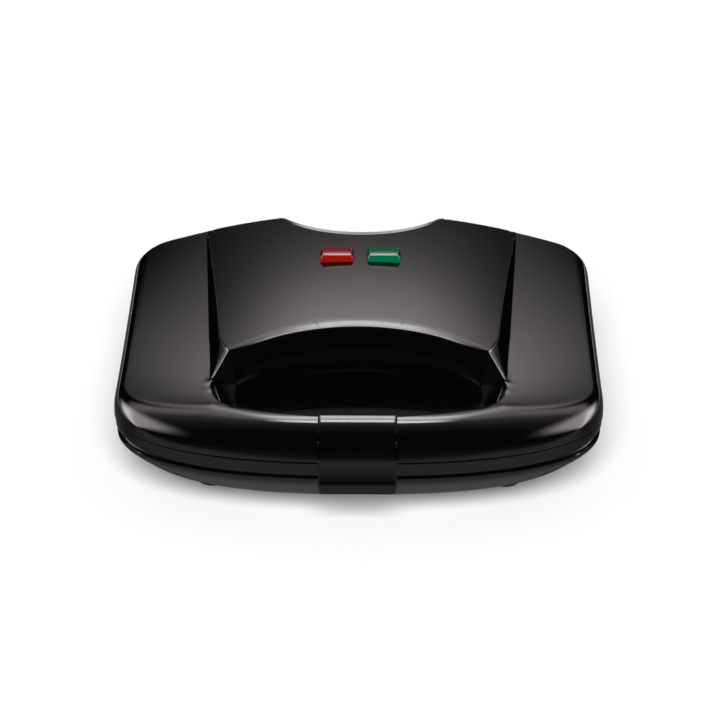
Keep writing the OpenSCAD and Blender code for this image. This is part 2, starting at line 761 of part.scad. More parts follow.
module lid_frame() {
    color(shell_black) difference() {
        union() {
            difference() {
                frame_deck(wall, lid_low_z, lid_low_z + deck_t);
                slot_box(front_y - 1, grip_wall_y + wall, 0, parting_z + 8, 0);
                hinge_space(fit_gap + side_play, 0);
            }
            both_sides() {
                along_x(post_x + post_w / 2, pivot_y, pivot_z, pivot_post_r, post_w);
                translate([post_x, pivot_y - pivot_post_r, lid_low_z])
                    cube([post_w, 2 * pivot_post_r, pivot_z - lid_low_z]);
            }
            both_sides() {
                along_x(hinge_x, hinge_y, hinge_z, knuckle_r, knuckle_w);
                translate([hinge_x - knuckle_w / 2, hinge_y - knuckle_r - 6, lid_low_z])
                    cube([knuckle_w, knuckle_r + 6, hinge_z + knuckle_r * 0.5 - lid_low_z]);
            }
        }
        along_x(0, pivot_y, pivot_z, latch_pin_d / 2 + pin_play, 2 * (post_x + post_w) + 2);
        both_sides() along_x(hinge_x, hinge_y, hinge_z, hinge_pin_d / 2 + pin_play, knuckle_w + 2);
        at_posts() translate([0, 0, lid_low_z - 1]) cylinder(r = hole_r, h = 20);
        at_posts() translate([0, 0, lid_low_z - 1]) cylinder(r = screw_d + 0.2, h = 3);
        at_ears() translate([0, 0, lid_low_z + deck_t / 4]) cylinder(r = hole_r, h = 20);
    }
}

lid_screw_l = 12;

module lid_screws() {
    color(steel) at_posts() translate([0, 0, lid_low_z]) screw(lid_screw_l);
}

module hinge_pins() {
    color(steel) both_sides() along_x(hinge_x, hinge_y, hinge_z, hinge_pin_d / 2, 2 * lug_out + 0.6);
}

// Lens: a jewel with sloped sides, a neck through the hood and a flange under it
module lens(side) {
    top_scale = 0.86;
    flange_t = 1.2;
    flange_w = 1.5;
    x = side * lens_pitch / 2;
    z = hood_z(x, lens_y);
    neck = [lens_w - fit_gap, lens_d - fit_gap];
    translate([x, lens_y, z]) {
        linear_extrude(lens_h, scale = top_scale) square(neck, center = true);
        translate([0, 0, -wall - 1]) linear_extrude(wall + 1) square(neck, center = true);
        translate([0, 0, -wall - 1 - flange_t]) linear_extrude(flange_t)
            square([lens_w + 2 * flange_w, lens_d + 2 * flange_w], center = true);
    }
}

module red_lens() {
    color([0.75, 0.12, 0.1]) lens(-1);
}

module green_lens() {
    color([0, 0.55, 0.4]) lens(1);
}

// Bracket under the lenses that carries the two neon lamps
lamp_room = 17;
bracket_reach = 5.5;
bracket_z = hood_z(0, lens_y) - lamp_room;
bracket_half = lens_pitch / 2 + lens_w / 2 + bracket_reach;
bracket_d = 12;
bracket_t = 1.6;

module lamp_bracket() {
    leg = 3;
    leg_top = hood_z(bracket_half, lens_y) - wall - 0.8;
    color(coat_grey) translate([0, lens_y - bracket_d / 2, bracket_z]) {
        translate([-bracket_half, 0, 0]) cube([2 * bracket_half, bracket_d, bracket_t]);
        both_sides() translate([bracket_half - leg, 0, 0]) cube([leg, bracket_d, leg_top - bracket_z]);
    }
}

module pilot_lamps() {
    bulb_r = 3;
    bulb_h = 7;
    color(ceramic) for (side = [-1, 1]) translate([side * lens_pitch / 2, lens_y, bracket_z + bracket_t]) {
        cylinder(r = bulb_r, h = bulb_h);
        translate([0, 0, bulb_h]) sphere(r = bulb_r);
    }
}

// ---------------------------------------------------------------- latch

roll_drop = grip_h - parting_gap;
function roll_point(a, out) =
    let (n = [-cos(a) / roll_d, sin(a) / roll_drop])
    [front_y + roll_d * (1 - cos(a)), grip_top_z - roll_drop * (1 - sin(a))] + out * n / norm(n);

module latch_profile() {
    roll_end = acos(1 - grip_bar_d / roll_d);
    steps = 8;
    outer_y = front_y - latch_proud;
    inner_y = outer_y + latch_t;
    tab_y = outer_y - tab_proud;
    tab_top = latch_low_z + tab_h;
    nose_y = catch_front_y - side_play;
    nose_top = catch_z - side_play;
    polygon(concat(
        [for (k = [0 : steps]) roll_point(roll_end * (1 - k / steps), latch_proud)],
        [[outer_y, tab_top], [tab_y, tab_top - 0.8], [tab_y, latch_low_z + 0.8], [tab_y + 0.8, latch_low_z],
         [nose_y - 1.2, latch_low_z], [nose_y, latch_low_z + 1.2], [nose_y, nose_top], [inner_y, nose_top + 0.4]],
        [for (k = [0 : steps]) roll_point(roll_end * k / steps, latch_proud - latch_t)]));
}

module latch() {
    boss_r = latch_pin_d / 2 + 1.9;
    web_h = 4.5;
    web_front = pivot_y - 5.5;
    color(shell_black) difference() {
        union() {
            rotate([90, 0, 90]) translate([0, 0, -latch_w / 2]) linear_extrude(latch_w) latch_profile();
            along_x(0, pivot_y, pivot_z, boss_r, latch_w);
            translate([-latch_w / 2, web_front, pivot_z - 2]) cube([latch_w, pivot_y - 0.4 - web_front, web_h]);
        }
        along_x(0, pivot_y, pivot_z, latch_pin_d / 2 + pin_play, latch_w + 2);
    }
}

module latch_pin() {
    color(steel) along_x(0, pivot_y, pivot_z, latch_pin_d / 2, 2 * (post_x + post_w) - 0.4);
}

base_housing();
base_frame();
lower_plate();
lower_element();
lower_reflector();
thermal_fuse();
terminal_block();
cord_gland();
cable_clamp();
feet();
base_screws();
lower_plate_screws();
hinge_pins();
lid_cover();
lid_frame();
upper_plate();
upper_element();
upper_reflector();
thermostat();
red_lens();
green_lens();
pilot_lamps();
lamp_bracket();
lid_screws();
upper_plate_screws();
latch_pin();
latch();
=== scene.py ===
"""Dresses a two-slice sandwich toaster: glossy shells, latch, lenses, plates and small parts, in a studio.

Sizes are in millimetres and become metres when a mesh is made. +Z is up, the front is towards -Y.
"""

import logging
import math
from dataclasses import dataclass, field
from enum import Enum
from typing import Sequence

import bmesh
import bpy
import numpy as np
from mathutils import Matrix, Vector

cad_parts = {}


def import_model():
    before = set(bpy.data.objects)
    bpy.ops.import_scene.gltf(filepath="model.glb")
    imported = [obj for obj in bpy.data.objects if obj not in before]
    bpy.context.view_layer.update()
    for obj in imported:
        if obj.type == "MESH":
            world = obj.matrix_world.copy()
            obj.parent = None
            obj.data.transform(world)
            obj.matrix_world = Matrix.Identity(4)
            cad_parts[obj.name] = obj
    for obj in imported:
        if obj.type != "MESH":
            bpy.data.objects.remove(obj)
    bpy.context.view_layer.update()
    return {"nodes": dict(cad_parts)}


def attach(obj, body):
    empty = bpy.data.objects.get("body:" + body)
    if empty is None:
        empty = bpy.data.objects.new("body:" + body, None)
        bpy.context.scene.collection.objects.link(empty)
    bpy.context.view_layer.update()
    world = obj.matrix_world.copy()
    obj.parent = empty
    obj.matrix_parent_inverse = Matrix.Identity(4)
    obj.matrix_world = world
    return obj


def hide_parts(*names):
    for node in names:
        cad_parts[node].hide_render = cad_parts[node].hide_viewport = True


LOG = logging.getLogger("toaster")
MM = 0.001
Triple = tuple[float, float, float]
Pairs = tuple[tuple[float, float], ...]
Points = Sequence[Sequence[float]]
Piece = bpy.types.Object
Material = bpy.types.Material
Tree = bpy.types.NodeTree
Socket = bpy.types.NodeSocket


# ------------------------------------------------------------------ mesh helpers

def smooth_step(t: np.ndarray | float) -> np.ndarray | float:
    """Returns a smooth ramp from 0 to 1 for t in 0..1."""
    t = np.clip(t, 0.0, 1.0)
    return t * t * (3.0 - 2.0 * t)


def blend(a: float, b: float, t: float) -> float:
    """Returns the value a share t of the way from a to b."""
    return a + (b - a) * t


def linked(name: str, data: bpy.types.ID) -> Piece:
    """Makes an object of a mesh, lamp or camera and links it to the scene."""
    obj = bpy.data.objects.new(name, data)
    bpy.context.scene.collection.objects.link(obj)
    return obj


def shade(work: bmesh.types.BMesh, sharp_deg: float) -> None:
    """Shades faces smooth, and keeps edges sharp that turn more than an angle."""
    limit = math.radians(sharp_deg)
    for edge in work.edges:
        edge.smooth = len(edge.link_faces) == 2 and edge.calc_face_angle(0.0) < limit
    for face in work.faces:
        face.smooth = True


def mesh_object(name: str, points: np.ndarray, faces: Sequence[Sequence[int]],
                sharp_deg: float = 30.0) -> Piece:
    """Makes an object from points in millimetres.

    Args:
        name: Name of the object and its mesh.
        points: N x 3 array in millimetres.
        faces: Corner indices of each face.
        sharp_deg: Edges that turn more than this stay sharp.

    Returns:
        The new object, linked to the scene, with doubles merged and normals outwards.
    """
    mesh = bpy.data.meshes.new(name)
    mesh.from_pydata((np.asarray(points) * MM).tolist(), [], [list(map(int, f)) for f in faces])
    return finish_mesh(name, mesh, sharp_deg)


def finish_mesh(name: str, mesh: bpy.types.Mesh, sharp_deg: float = 30.0, merge: float = 2e-6) -> Piece:
    """Merges doubles, turns the faces outwards and links the mesh as an object.

    Args:
        name: Name of the object.
        mesh: The mesh, in metres.
        sharp_deg: Edges that turn more than this stay sharp.
        merge: Distance under which points are merged, in metres.

    Returns:
        The linked object.
    """
    work = bmesh.new()
    work.from_mesh(mesh)
    bmesh.ops.remove_doubles(work, verts=work.verts, dist=merge)
    bmesh.ops.dissolve_degenerate(work, edges=work.edges, dist=merge)
    bmesh.ops.recalc_face_normals(work, faces=work.faces)
    shade(work, sharp_deg)
    work.to_mesh(mesh)
    work.free()
    return linked(name, mesh)


def ring_faces(rings: int, count: int) -> list[Sequence[int]]:
    """Returns the quads between closed rings of count points, stored ring by ring."""
    return [(a + i, a + (i + 1) % count, a + count + (i + 1) % count, a + count + i)
            for a in range(0, (rings - 1) * count, count) for i in range(count)]


def loft(name: str, rings: Sequence[np.ndarray], sharp_deg: float = 30.0) -> Piece:
    """Makes a closed solid through equal closed rings, with flat ends.

    Args:
        name: Name of the object.
        rings: N x 3 arrays in millimetres, each in the same order.
        sharp_deg: Edges that turn more than this stay sharp.
    """
    count = len(rings[0])
    faces = ring_faces(len(rings), count)
    faces.append(list(range(count))[::-1])
    faces.append(list(range((len(rings) - 1) * count, len(rings) * count)))
    return mesh_object(name, np.vstack(rings), faces, sharp_deg)


def combine(base: Piece, tool: Piece, operation: str = "DIFFERENCE") -> Piece:
    """Applies an exact boolean to base with tool, and removes tool.

    Args:
        base: The piece that is changed.
        tool: The cutter, or the piece to add.
        operation: Blender's name of the operation.
    """
    modifier = base.modifiers.new("cut", "BOOLEAN")
    modifier.operation, modifier.object, modifier.solver = operation, tool, "EXACT"
    apply_modifiers(base)
    bpy.data.objects.remove(tool)
    return base


def apply_modifiers(obj: Piece) -> Piece:
    """Turns an object's modifiers into plain mesh."""
    depsgraph = bpy.context.evaluated_depsgraph_get()
    mesh = bpy.data.meshes.new_from_object(obj.evaluated_get(depsgraph))
    old = obj.data
    obj.modifiers.clear()
    obj.data = mesh
    bpy.data.meshes.remove(old)
    return obj


def rounded(obj: Piece, radius: float, segments: int = 3, limit_deg: float = 30.0) -> Piece:
    """Rounds an object's sharp edges by a radius in millimetres.

    Args:
        obj: The piece.
        radius: Width of the bevel in millimetres.
        segments: Faces across the bevel.
        limit_deg: Edges that turn more than this are rounded.
    """
    modifier = obj.modifiers.new("edge", "BEVEL")
    modifier.width, modifier.segments = radius * MM, segments
    modifier.limit_method, modifier.angle_limit = "ANGLE", math.radians(limit_deg)
    modifier.harden_normals = False
    apply_modifiers(obj)
    return resmooth(obj, limit_deg)


def resmooth(obj: Piece, limit_deg: float = 30.0) -> Piece:
    """Marks an object's edges sharp again by their angle, and shades the rest smooth."""
    work = bmesh.new()
    work.from_mesh(obj.data)
    shade(work, limit_deg)
    work.to_mesh(obj.data)
    work.free()
    return obj


def block(name: str, low: Sequence[float], high: Sequence[float]) -> Piece:
    """Makes a box between two corners in millimetres, for use as a cutter or a blank."""
    (x0, y0, z0), (x1, y1, z1) = low, high
    plan = ((x0, y0), (x1, y0), (x1, y1), (x0, y1))
    return loft(name, [np.array([(x, y, z) for x, y in plan], float) for z in (z0, z1)])


def rod(name: str, start: Sequence[float], end: Sequence[float], radius: float, sides: int = 48) -> Piece:
    """Makes a round rod between two points in millimetres.

    Args:
        name: Name of the object.
        start: Middle of one end.
        end: Middle of the other end.
        radius: Radius of the rod.
        sides: Faces round the rod.
    """
    a, b = np.array(start, float), np.array(end, float)
    axis = (b - a) / np.linalg.norm(b - a)
    side = np.cross(axis, (0, 0, 1) if abs(axis[2]) < 0.9 else (1, 0, 0))
    side /= np.linalg.norm(side)
    other = np.cross(axis, side)
    turn = np.linspace(0, 2 * math.pi, sides, endpoint=False)[:, None]
    ring = radius * (np.cos(turn) * side + np.sin(turn) * other)
    return loft(name, [a + ring, b + ring])


def drill(solid: Piece, x: float, y: float, low: float, high: float, radius: float, sides: int = 48) -> Piece:
    """Cuts an upright round hole between two heights."""
    return combine(solid, rod("drill", (x, y, low), (x, y, high), radius, sides))


def drill_across(solid: Piece, x: float, half: float, y: float, z: float, radius: float,
                 sides: int = 48) -> Piece:
    """Cuts a round hole along X, half its length to each side of x."""
    return combine(solid, rod("drill", (x - half, y, z), (x + half, y, z), radius, sides))


def extruded(name: str, shape: np.ndarray, stops: Sequence[float], sharp_deg: float = 30.0) -> Piece:
    """Makes a solid from a closed ring in the YZ plane, with a section at each stop along X."""
    return loft(name, [np.column_stack([np.full(len(shape), x), shape]) for x in stops], sharp_deg)


def smooth_path(points: Points, steps: int = 5) -> np.ndarray:
    """Returns a smooth path through points, keeping its ends.

    Args:
        points: The points that the path passes.
        steps: Points of the path from one to the next.
    """
    p = np.asarray(points, float)
    p = np.vstack([2 * p[0] - p[1], p, 2 * p[-1] - p[-2]])
    t = np.linspace(0, 1, steps, endpoint=False)[:, None]
    parts = []
    for a, b, c, d in zip(p, p[1:], p[2:], p[3:]):
        bend, twist = 2 * a - 5 * b + 4 * c - d, 3 * b - a - 3 * c + d
        parts.append(0.5 * (2 * b + (c - a) * t + bend * t ** 2 + twist * t ** 3))
    return np.vstack([*parts, p[-2]])


def join(name: str, parts: Sequence[Piece]) -> Piece:
    """Joins objects into one, keeping each one's mesh as it is.

    Args:
        name: Name of the result.
        parts: The objects, which are removed.
    """
    work = bmesh.new()
    for part in parts:
        work.from_mesh(part.data)
    mesh = bpy.data.meshes.new(name)
    work.to_mesh(mesh)
    work.free()
    for part in parts:
        bpy.data.objects.remove(part)
    return linked(name, mesh)


# ------------------------------------------------------------------ shape of the shells

@dataclass(frozen=True)
class BodyPlan:
    """What lid and base share: outline, hand opening, cord recess, parting, wall and hinge."""
    half_width: float = 122.5
    front_y: float = -108.0
    rear_y: float = 104.0
    curve_y: float = -43.0
    front_power: float = 2.4
    corner_radius: float = 18.0
    notch_y: float = 135.5
    notch_radius: float = 53.0
    well_y: float = -60.0
    well_half: float = 72.0
    well_front: float = 32.0
    well_arc_radius: float = 125.0
    well_rear: float = 18.2
    #: squareness of the opening's front curve, and how sharply it meets the rear arc
    well_power: float = 2.2
    well_blend: float = 14.0
    slot_half: float = 19.2
    parting_z: float = 39.5
    parting_gap: float = 0.5
    wall: float = 2.4
    hinge_x: float = 67.0
    side_points: int = 24
    rear_points: int = 29

    @property
    def lid_low(self) -> float:
        """Returns the height of the lid's lower edge."""
        return self.parting_z + self.parting_gap / 2

    @property
    def middle_y(self) -> float:
        """Returns the middle of the shells along Y."""
        return (self.front_y + self.rear_y) / 2

    @property
    def notch_half(self) -> float:
        """Returns half the width of the recess at the rear edge."""
        return math.sqrt(self.notch_radius ** 2 - (self.notch_y - self.rear_y) ** 2)

    def half_outline(self, steps: int = 150) -> np.ndarray:
        """Returns the outline's right half, front centre to rear centre, without the recess."""
        turn = np.linspace(-math.pi / 2, 0, steps)
        power = 2 / self.front_power
        depth = self.curve_y - self.front_y
        front = np.column_stack([self.half_width * np.abs(np.cos(turn)) ** power,
                                 self.curve_y - depth * np.abs(np.sin(turn)) ** power])
        corner = np.linspace(0, math.pi / 2, steps // 3)
        r = self.corner_radius
        x, y = self.half_width - r, self.rear_y - r
        bend = np.column_stack([x + r * np.cos(corner), y + r * np.sin(corner)])
        sides = np.linspace(self.curve_y, y, self.side_points + 2)[1:-1]
        side = np.column_stack([np.full(len(sides), self.half_width), sides])
        rears = np.linspace(x, 0, self.rear_points + 1)[1:]
        rear = np.column_stack([rears, np.full(len(rears), self.rear_y)])
        return np.vstack([front, side, bend, rear])

    def outline(self, steps: int = 150) -> np.ndarray:
        """Returns the whole outline as a closed ring, anticlockwise from the front centre."""
        right = self.half_outline(steps)
        left = right[1:-1][::-1] * (-1, 1)
        return np.vstack([right, left])

    def edge_distance(self, points: np.ndarray, batch: int = 2000) -> tuple[np.ndarray, np.ndarray]:
        """Measures how far points lie inside the outline.

        Args:
            points: N x 2 array.
            batch: Points measured at a time.

        Returns:
            The distances, and the Y of the nearest point of the outline.
        """
        line = self.half_outline()
        a, step = line[:-1], np.diff(line, axis=0)
        length2 = (step ** 2).sum(1)
        near = np.empty(len(points))
        near_y = np.empty(len(points))
        for k in range(0, len(points), batch):
            p = np.abs(points[k:k + batch] * (1, 0)) + points[k:k + batch] * (0, 1)
            t = np.clip(((p[:, None] - a) * step).sum(2) / length2, 0, 1)
            foot = a + t[..., None] * step
            d = np.linalg.norm(p[:, None] - foot, axis=2)
            best = d.argmin(1)
            rows = np.arange(len(p))
            near[k:k + batch] = d[rows, best]
            near_y[k:k + batch] = foot[rows, best, 1]
        return near, near_y

    def well_radius(self, turn: np.ndarray) -> np.ndarray:
        """Returns the hand opening's radius about its middle, for angles in radians."""
        c, big = self.well_arc_radius - self.well_rear, self.well_arc_radius
        s = np.sin(turn)
        arc = np.sqrt(np.maximum(c * c * s * s + big * big - c * c, 1.0)) - c * s
        power, sharp = self.well_power, self.well_blend
        curve = ((np.abs(np.cos(turn)) / self.well_half) ** power
                 + (np.abs(s) / self.well_front) ** power) ** (-1 / power)
        return (arc ** -sharp + curve ** -sharp) ** (-1 / sharp)

    def well_point(self, turn: np.ndarray, grow: np.ndarray | float = 0.0) -> np.ndarray:
        """Returns points of the hand opening's edge, grown outwards along the radius."""
        r = self.well_radius(turn) + grow
        return np.column_stack([r * np.cos(turn), self.well_y + r * np.sin(turn)])

    def inside_outline(self, points: np.ndarray) -> np.ndarray:
        """Returns a measure under 1 inside the outline's front and sides, and over 1 outside."""
        ahead = np.maximum(0, self.curve_y - points[:, 1]) / (self.curve_y - self.front_y)
        return (np.abs(points[:, 0]) / self.half_width) ** self.front_power + ahead ** self.front_power


@dataclass(frozen=True)
class LidForm:
    """Heights of the lid's outer surface: wings, rolled edge, hood and the recess's sloped border."""
    plan: BodyPlan = field(default_factory=BodyPlan)
    grip_top: float = 57.5
    wing_rise: float = 21.6
    wing_power: float = 1.45
    wing_start_y: float = -77.0
    fall_front: float = 0.11
    fall_rear: float = 0.265
    wing_radius: float = 1400.0
    side_roll: float = 5.5
    side_down: float = 8.5
    front_roll_in: float = 26.0
    grip_roll_in: float = 17.0
    roll_power: float = 2.5
    front_roll_down: float = 17.5
    #: where the roll narrows to the grip's, and over how much, as shares of the way round the front
    grip_from: float = 0.84
    grip_over: float = 0.14
    #: how the roll grows round the front
    roll_growth: float = 1.5
    hood_top: float = 88.5
    hood_drop: float = 6.7
    hood_length: float = 144.0
    hood_power: float = 1.6
    crown_radius: float = 335.0
    crease_front: float = 73.7
    crease_rear: float = 84.0
    #: how far behind the opening's middle the hood's foot starts
    crease_back: float = 9.0
    lean: float = 0.35
    edge_turn: float = 4.0
    edge_turn_y: float = -30.0
    edge_turn_d: float = 21.0
    edge_turn_power: float = 2.2
    edge_turn_most: float = 1.3
    rear_round: float = 3.0
    border_drop: float = 3.4
    border_slope_deg: float = 14.0
    #: length over which the hood begins, before the opening's middle
    hood_start: float = 6.0

    def share(self, y: np.ndarray) -> np.ndarray:
        """Returns how far along the wings y lies, 0 at the grip and 1 at the rear."""
        return np.clip((y - self.wing_start_y) / (self.plan.rear_y - self.wing_start_y), 0, 1)

    def crease(self, y: np.ndarray) -> np.ndarray:
        """Returns the hood's half width at its foot."""
        start = self.plan.well_y + self.crease_back
        widen = self.crease_rear - self.crease_front
        return self.crease_front + widen * (y - start) / (self.plan.rear_y - start)

    def wing(self, x: np.ndarray, y: np.ndarray) -> np.ndarray:
        """Returns the wings' height before the rolled edge."""
        share = self.share(y)
        fall = self.fall_front + (self.fall_rear - self.fall_front) * share
        out = np.maximum(0, np.abs(x) - self.crease(y))
        ridge = self.grip_top + self.wing_rise * share ** self.wing_power
        return ridge - fall * out - out ** 2 / (2 * self.wing_radius)

    def front_share(self, near_y: np.ndarray) -> np.ndarray:
        """Returns how far round the front the outline is, 0 at the sides and 1 at the front centre."""
        return np.clip((self.plan.curve_y - near_y) / (self.plan.curve_y - self.plan.front_y), 0, 1)

    def roll_drop(self, inside: np.ndarray, near_y: np.ndarray) -> np.ndarray:
        """Returns how far the rolled edge lies under the wing, by distance from the outline.

        Args:
            inside: Distances from the outline.
            near_y: Y of the nearest points of the outline.
        """
        front = self.front_share(near_y) ** self.roll_growth
        reach = self.roll_reach(near_y)
        down = self.side_down + (self.front_roll_down - self.side_down) * front
        t = np.clip((reach - inside) / reach, 0, 1)
        return down * (1 - np.sqrt(1 - t ** self.roll_power))

    def roll_reach(self, near_y: np.ndarray) -> np.ndarray:
        """Returns the width of the rolled edge along the outline, widest at the front corners."""
        front = self.front_share(near_y)
        beside = smooth_step((front - self.grip_from) / self.grip_over)
        grip = (self.front_roll_in - self.grip_roll_in) * beside
        return self.side_roll + (self.front_roll_in - self.side_roll) * front ** self.roll_growth - grip

    def hood_plain(self, x: np.ndarray, y: np.ndarray) -> np.ndarray:
        """Returns the hood's height without its borders."""
        back = np.maximum(0, self.plan.rear_y - y) / self.hood_length
        return self.hood_top - self.hood_drop * back ** self.hood_power - x * x / (2 * self.crown_radius)

    def border(self, x: np.ndarray, y: np.ndarray) -> np.ndarray:
        """Returns the height of the recess's sloped border."""
        r = np.hypot(x, y - self.plan.notch_y)
        slope = math.tan(math.radians(self.border_slope_deg))
        return self.hood_top - self.border_drop + (r - self.plan.notch_radius) * slope

    def hood(self, x: np.ndarray, y: np.ndarray) -> np.ndarray:
        """Returns the hood's height with its rounded rear edge and the recess's border."""
        over = np.clip(y - (self.plan.rear_y - self.rear_round), 0, self.rear_round)
        rounding = self.rear_round - np.sqrt(np.maximum(0, self.rear_round ** 2 - over ** 2))
        return np.minimum(self.hood_plain(x, y) - rounding, self.border(x, y))

    def edge(self, y: np.ndarray) -> np.ndarray:
        """Returns the half width of the hood's top, which turns in towards the hand opening."""
        crease = self.crease(y)
        step = self.hood_plain(crease, y) - self.wing(crease, y)
        near = np.clip((self.edge_turn_y - y) / self.edge_turn_d, 0, self.edge_turn_most)
        return crease - self.lean * step - self.edge_turn * near ** self.edge_turn_power

    def side_share(self, x: np.ndarray, y: np.ndarray) -> np.ndarray:
        """Returns 0 at the hood's foot and 1 at its top edge, beyond which it goes on rising."""
        crease, edge = self.crease(y), self.edge(y)
        return (crease - np.abs(x)) / np.maximum(crease - edge, 1.0)

    @staticmethod
    def soft_share(m: np.ndarray, foot: float = 0.03, top: float = 0.06) -> np.ndarray:
        """Returns the share clamped to 0..1, with rounded ends."""
        def ramp(v: np.ndarray, r: float) -> np.ndarray:
            """Returns v above 0 and 0 below, rounded over r on each side."""
            return np.where(v <= -r, 0, np.where(v >= r, v, (v + r) ** 2 / (4 * r)))
        return ramp(m, foot) - ramp(m - 1, top)

    def height(self, x: np.ndarray, y: np.ndarray) -> np.ndarray:
        """Returns the finished outer surface's height at points given as arrays."""
        inside, near_y = self.plan.edge_distance(np.column_stack([x, y]))
        low = self.wing(x, y) - self.roll_drop(inside, near_y)
        start = smooth_step((y - self.plan.well_y + self.hood_start) / self.hood_start)
        share = self.soft_share(self.side_share(x, y)) * start
        return low + share * np.maximum(self.hood(x, y) - low, 0)


# ------------------------------------------------------------------ lid cover

@dataclass
class Spoke:
    """One line across the lid, from the hand opening to the outline, in plan."""
    well: np.ndarray
    lip: np.ndarray
    band: np.ndarray
    outer: np.ndarray
    upright: bool = False


@dataclass
class LidCover:
    """The lid's glossy outer shell, built on lines that run from the hand opening to the outline."""
    form: LidForm = field(default_factory=LidForm)
    front_lip: float = 2.2
    #: the lip's outer edge behind the front: parameter, x, y, and the turn of the opening's edge beside it
    rim: tuple[tuple[float, float, float, float], ...] = (
        (-16, 64.8, -78.8, -16), (-11, 69.2, -73.9, -11), (-6, 71.8, -67.9, -6.6), (-2, 73.2, -62, -4),
        (1, 73.9, -57.5, -2.6), (3, 73.5, -54, -1.4), (5, 71.7, -52, 0), (7.5, 68, -51.3, 1.2),
        (10, 63.6, -50.9, 2.8), (12.5, 58.8, -49.7, 5), (15.5, 53.3, -47.6, 8), (19, 47.5, -45.2, 12),
        (24, 40.5, -42.3, 17.6), (31, 32, -39.9, 25.6), (42, 21.5, -37.9, 38), (60, 10.5, -36.6, 58),
        (90, 0, -36.2, 90), (120, -10.5, -36.6, 122))
    #: points on the edge between two points of the rim
    rim_steps: int = 24
    gate_y: float = -37.0
    #: distance of the last side spoke from the corner where the hood's side meets the rear edge
    corner_step: float = 0.6
    #: distance of the first rear spoke from that corner
    rear_first: float = 5.2
    #: how far back the lip's last side spoke lies, between the opening's corner and its middle
    rear_share: float = 0.42
    #: radius of the lip's crest, which widens to a share of the lip away from the opening's ends
    crest: float = 1.3
    wide_crest: float = 0.5
    wide_half: float = 64.0
    wide_fade: float = 14.0
    #: steepness of the lip's inner slope
    lip_slope: float = 2.1
    #: reach and depth of the sunken line round the rear of the lip
    brow: tuple[float, float] = (3.6, 0.36)
    #: x and y of the opening's end, reach of the softened surface round it, and how far it is averaged
    soft_end: tuple[float, float, float, float] = (74.5, -59.0, 5.0, 0.9)
    #: rings of points that the average takes, as shares of that, and their weights
    soft_rings: Pairs = ((0.35, 0.88), (0.7, 0.61), (1.05, 0.33), (1.4, 0.14))
    soft_points: int = 12
    #: the hinge notches cut what lies behind this
    hinge_from_y: float = 99.0
    hinge_half: float = 11.8
    hinge_top: float = 50.8
    slot_wall_top: float = 47.5
    #: points down the opening's wall, and on the lip's slope and crest, of each spoke
    wall_points: int = 3
    slope_shares: tuple[float, ...] = (0.0, 0.4, 0.75)
    crest_turns: tuple[float, ...] = (0, 18, 36, 54, 72)
    #: where a spoke's points cross the hood's side: 1 is its top edge, 0 its foot
    band_shares: tuple[float, ...] = (
        1.5, 1.3, 1.16, 1.08, 1.05, 1.02, 0.99, 0.96, 0.93, 0.8, 0.55, 0.3, 0.12, 0.04, 0.015, -0.015, -0.04,
        -0.3)
    #: a length past the outline, and the halvings that find the outline on it
    far: float = 160.0
    halvings: int = 46
    #: fine steps of the lip's line, and half the span over which the spokes' directions are averaged
    fine_steps: int = 1600
    swing_reach: int = 90
    #: half width with spokes straight ahead, and the width over which they turn square to the lip
    straight_half: float = 22.0
    straight_fade: float = 24.0
    #: weight of the lip's length against the outline's in the spacing of spokes
    lip_weight: float = 1.2
    #: spokes across the slot, the grip, the opening's end, the hood's side, the rear edge and the recess
    slot_spokes: int = 9
    grip_spokes: int = 61
    end_spokes: int = 36
    side_rows: int = 75
    rear_edge_spokes: int = 25
    recess_spokes: int = 46
    #: spokes behind the opening's corner over which the rows turn straight across the hood's side
    catch_up: int = 26
    #: first side spokes, whose outer ends are spaced evenly
    slow_start: int = 25
    #: distances before the rear edge at which its spokes bend: the far ones, and the first and last near one
    rear_far: tuple[float, ...] = (7.0, 6.05, 5.1, 4.15, 3.2)
    rear_near: tuple[float, float] = (3.0, 0.04)
    #: distances before and past the top of the recess's border, and at its foot, of the spokes' points
    border_before: tuple[float, ...] = (5.0, 3.2, 1.8, 0.9, 0.35, 0.06)
    border_foot: tuple[float, ...] = (0.3, 0.06, 0.0)
    #: turns between which the lip meets the hood's side
    crossing_turns: tuple[float, float] = (-0.12, 0.6)
    deck_steps: int = 22
    wing_steps: int = 13
    roll_steps: int = 13
    sharp_deg: float = 38.0

    @property
    def plan(self) -> BodyPlan:
        """Returns the shared plan shape."""
        return self.form.plan

    def __post_init__(self) -> None:
        """Lays out the lip's outer edge as a smooth curve through its points."""
        front = np.arange(-102.0, -19.0, 12.0)
        lip = self.plan.well_point(np.radians(front), self.front_lip)
        rows = np.vstack([np.column_stack([front, lip, front]), self.rim])
        self.edge = smooth_path(rows, self.rim_steps)
        at = self.rim_steps * np.arange(len(rows))
        self.edge[:, 0] = np.interp(np.arange(len(self.edge)), at, rows[:, 0])

    def lip_point(self, turn: np.ndarray) -> np.ndarray:
        """Returns points of the lip's outer edge, by parameter in radians."""
        degrees = np.degrees(turn)
        return np.column_stack([np.interp(degrees, self.edge[:, 0], self.edge[:, k]) for k in (1, 2)])

    def well_point(self, turn: np.ndarray) -> np.ndarray:
        """Returns the points of the opening's edge beside the lip's points."""
        return self.plan.well_point(np.radians(np.interp(np.degrees(turn), self.edge[:, 0], self.edge[:, 3])))

    def fan(self, start: np.ndarray, way: np.ndarray) -> np.ndarray:
        """Returns where rays from points inside, along unit directions, meet the front and the sides."""
        low, high = np.zeros(len(start)), np.full(len(start), self.far)
        for _ in range(self.halvings):
            middle = (low + high) / 2
            outside = self.plan.inside_outline(start + way * middle[:, None]) > 1
            high, low = np.where(outside, middle, high), np.where(outside, low, middle)
        return start + way * low[:, None]

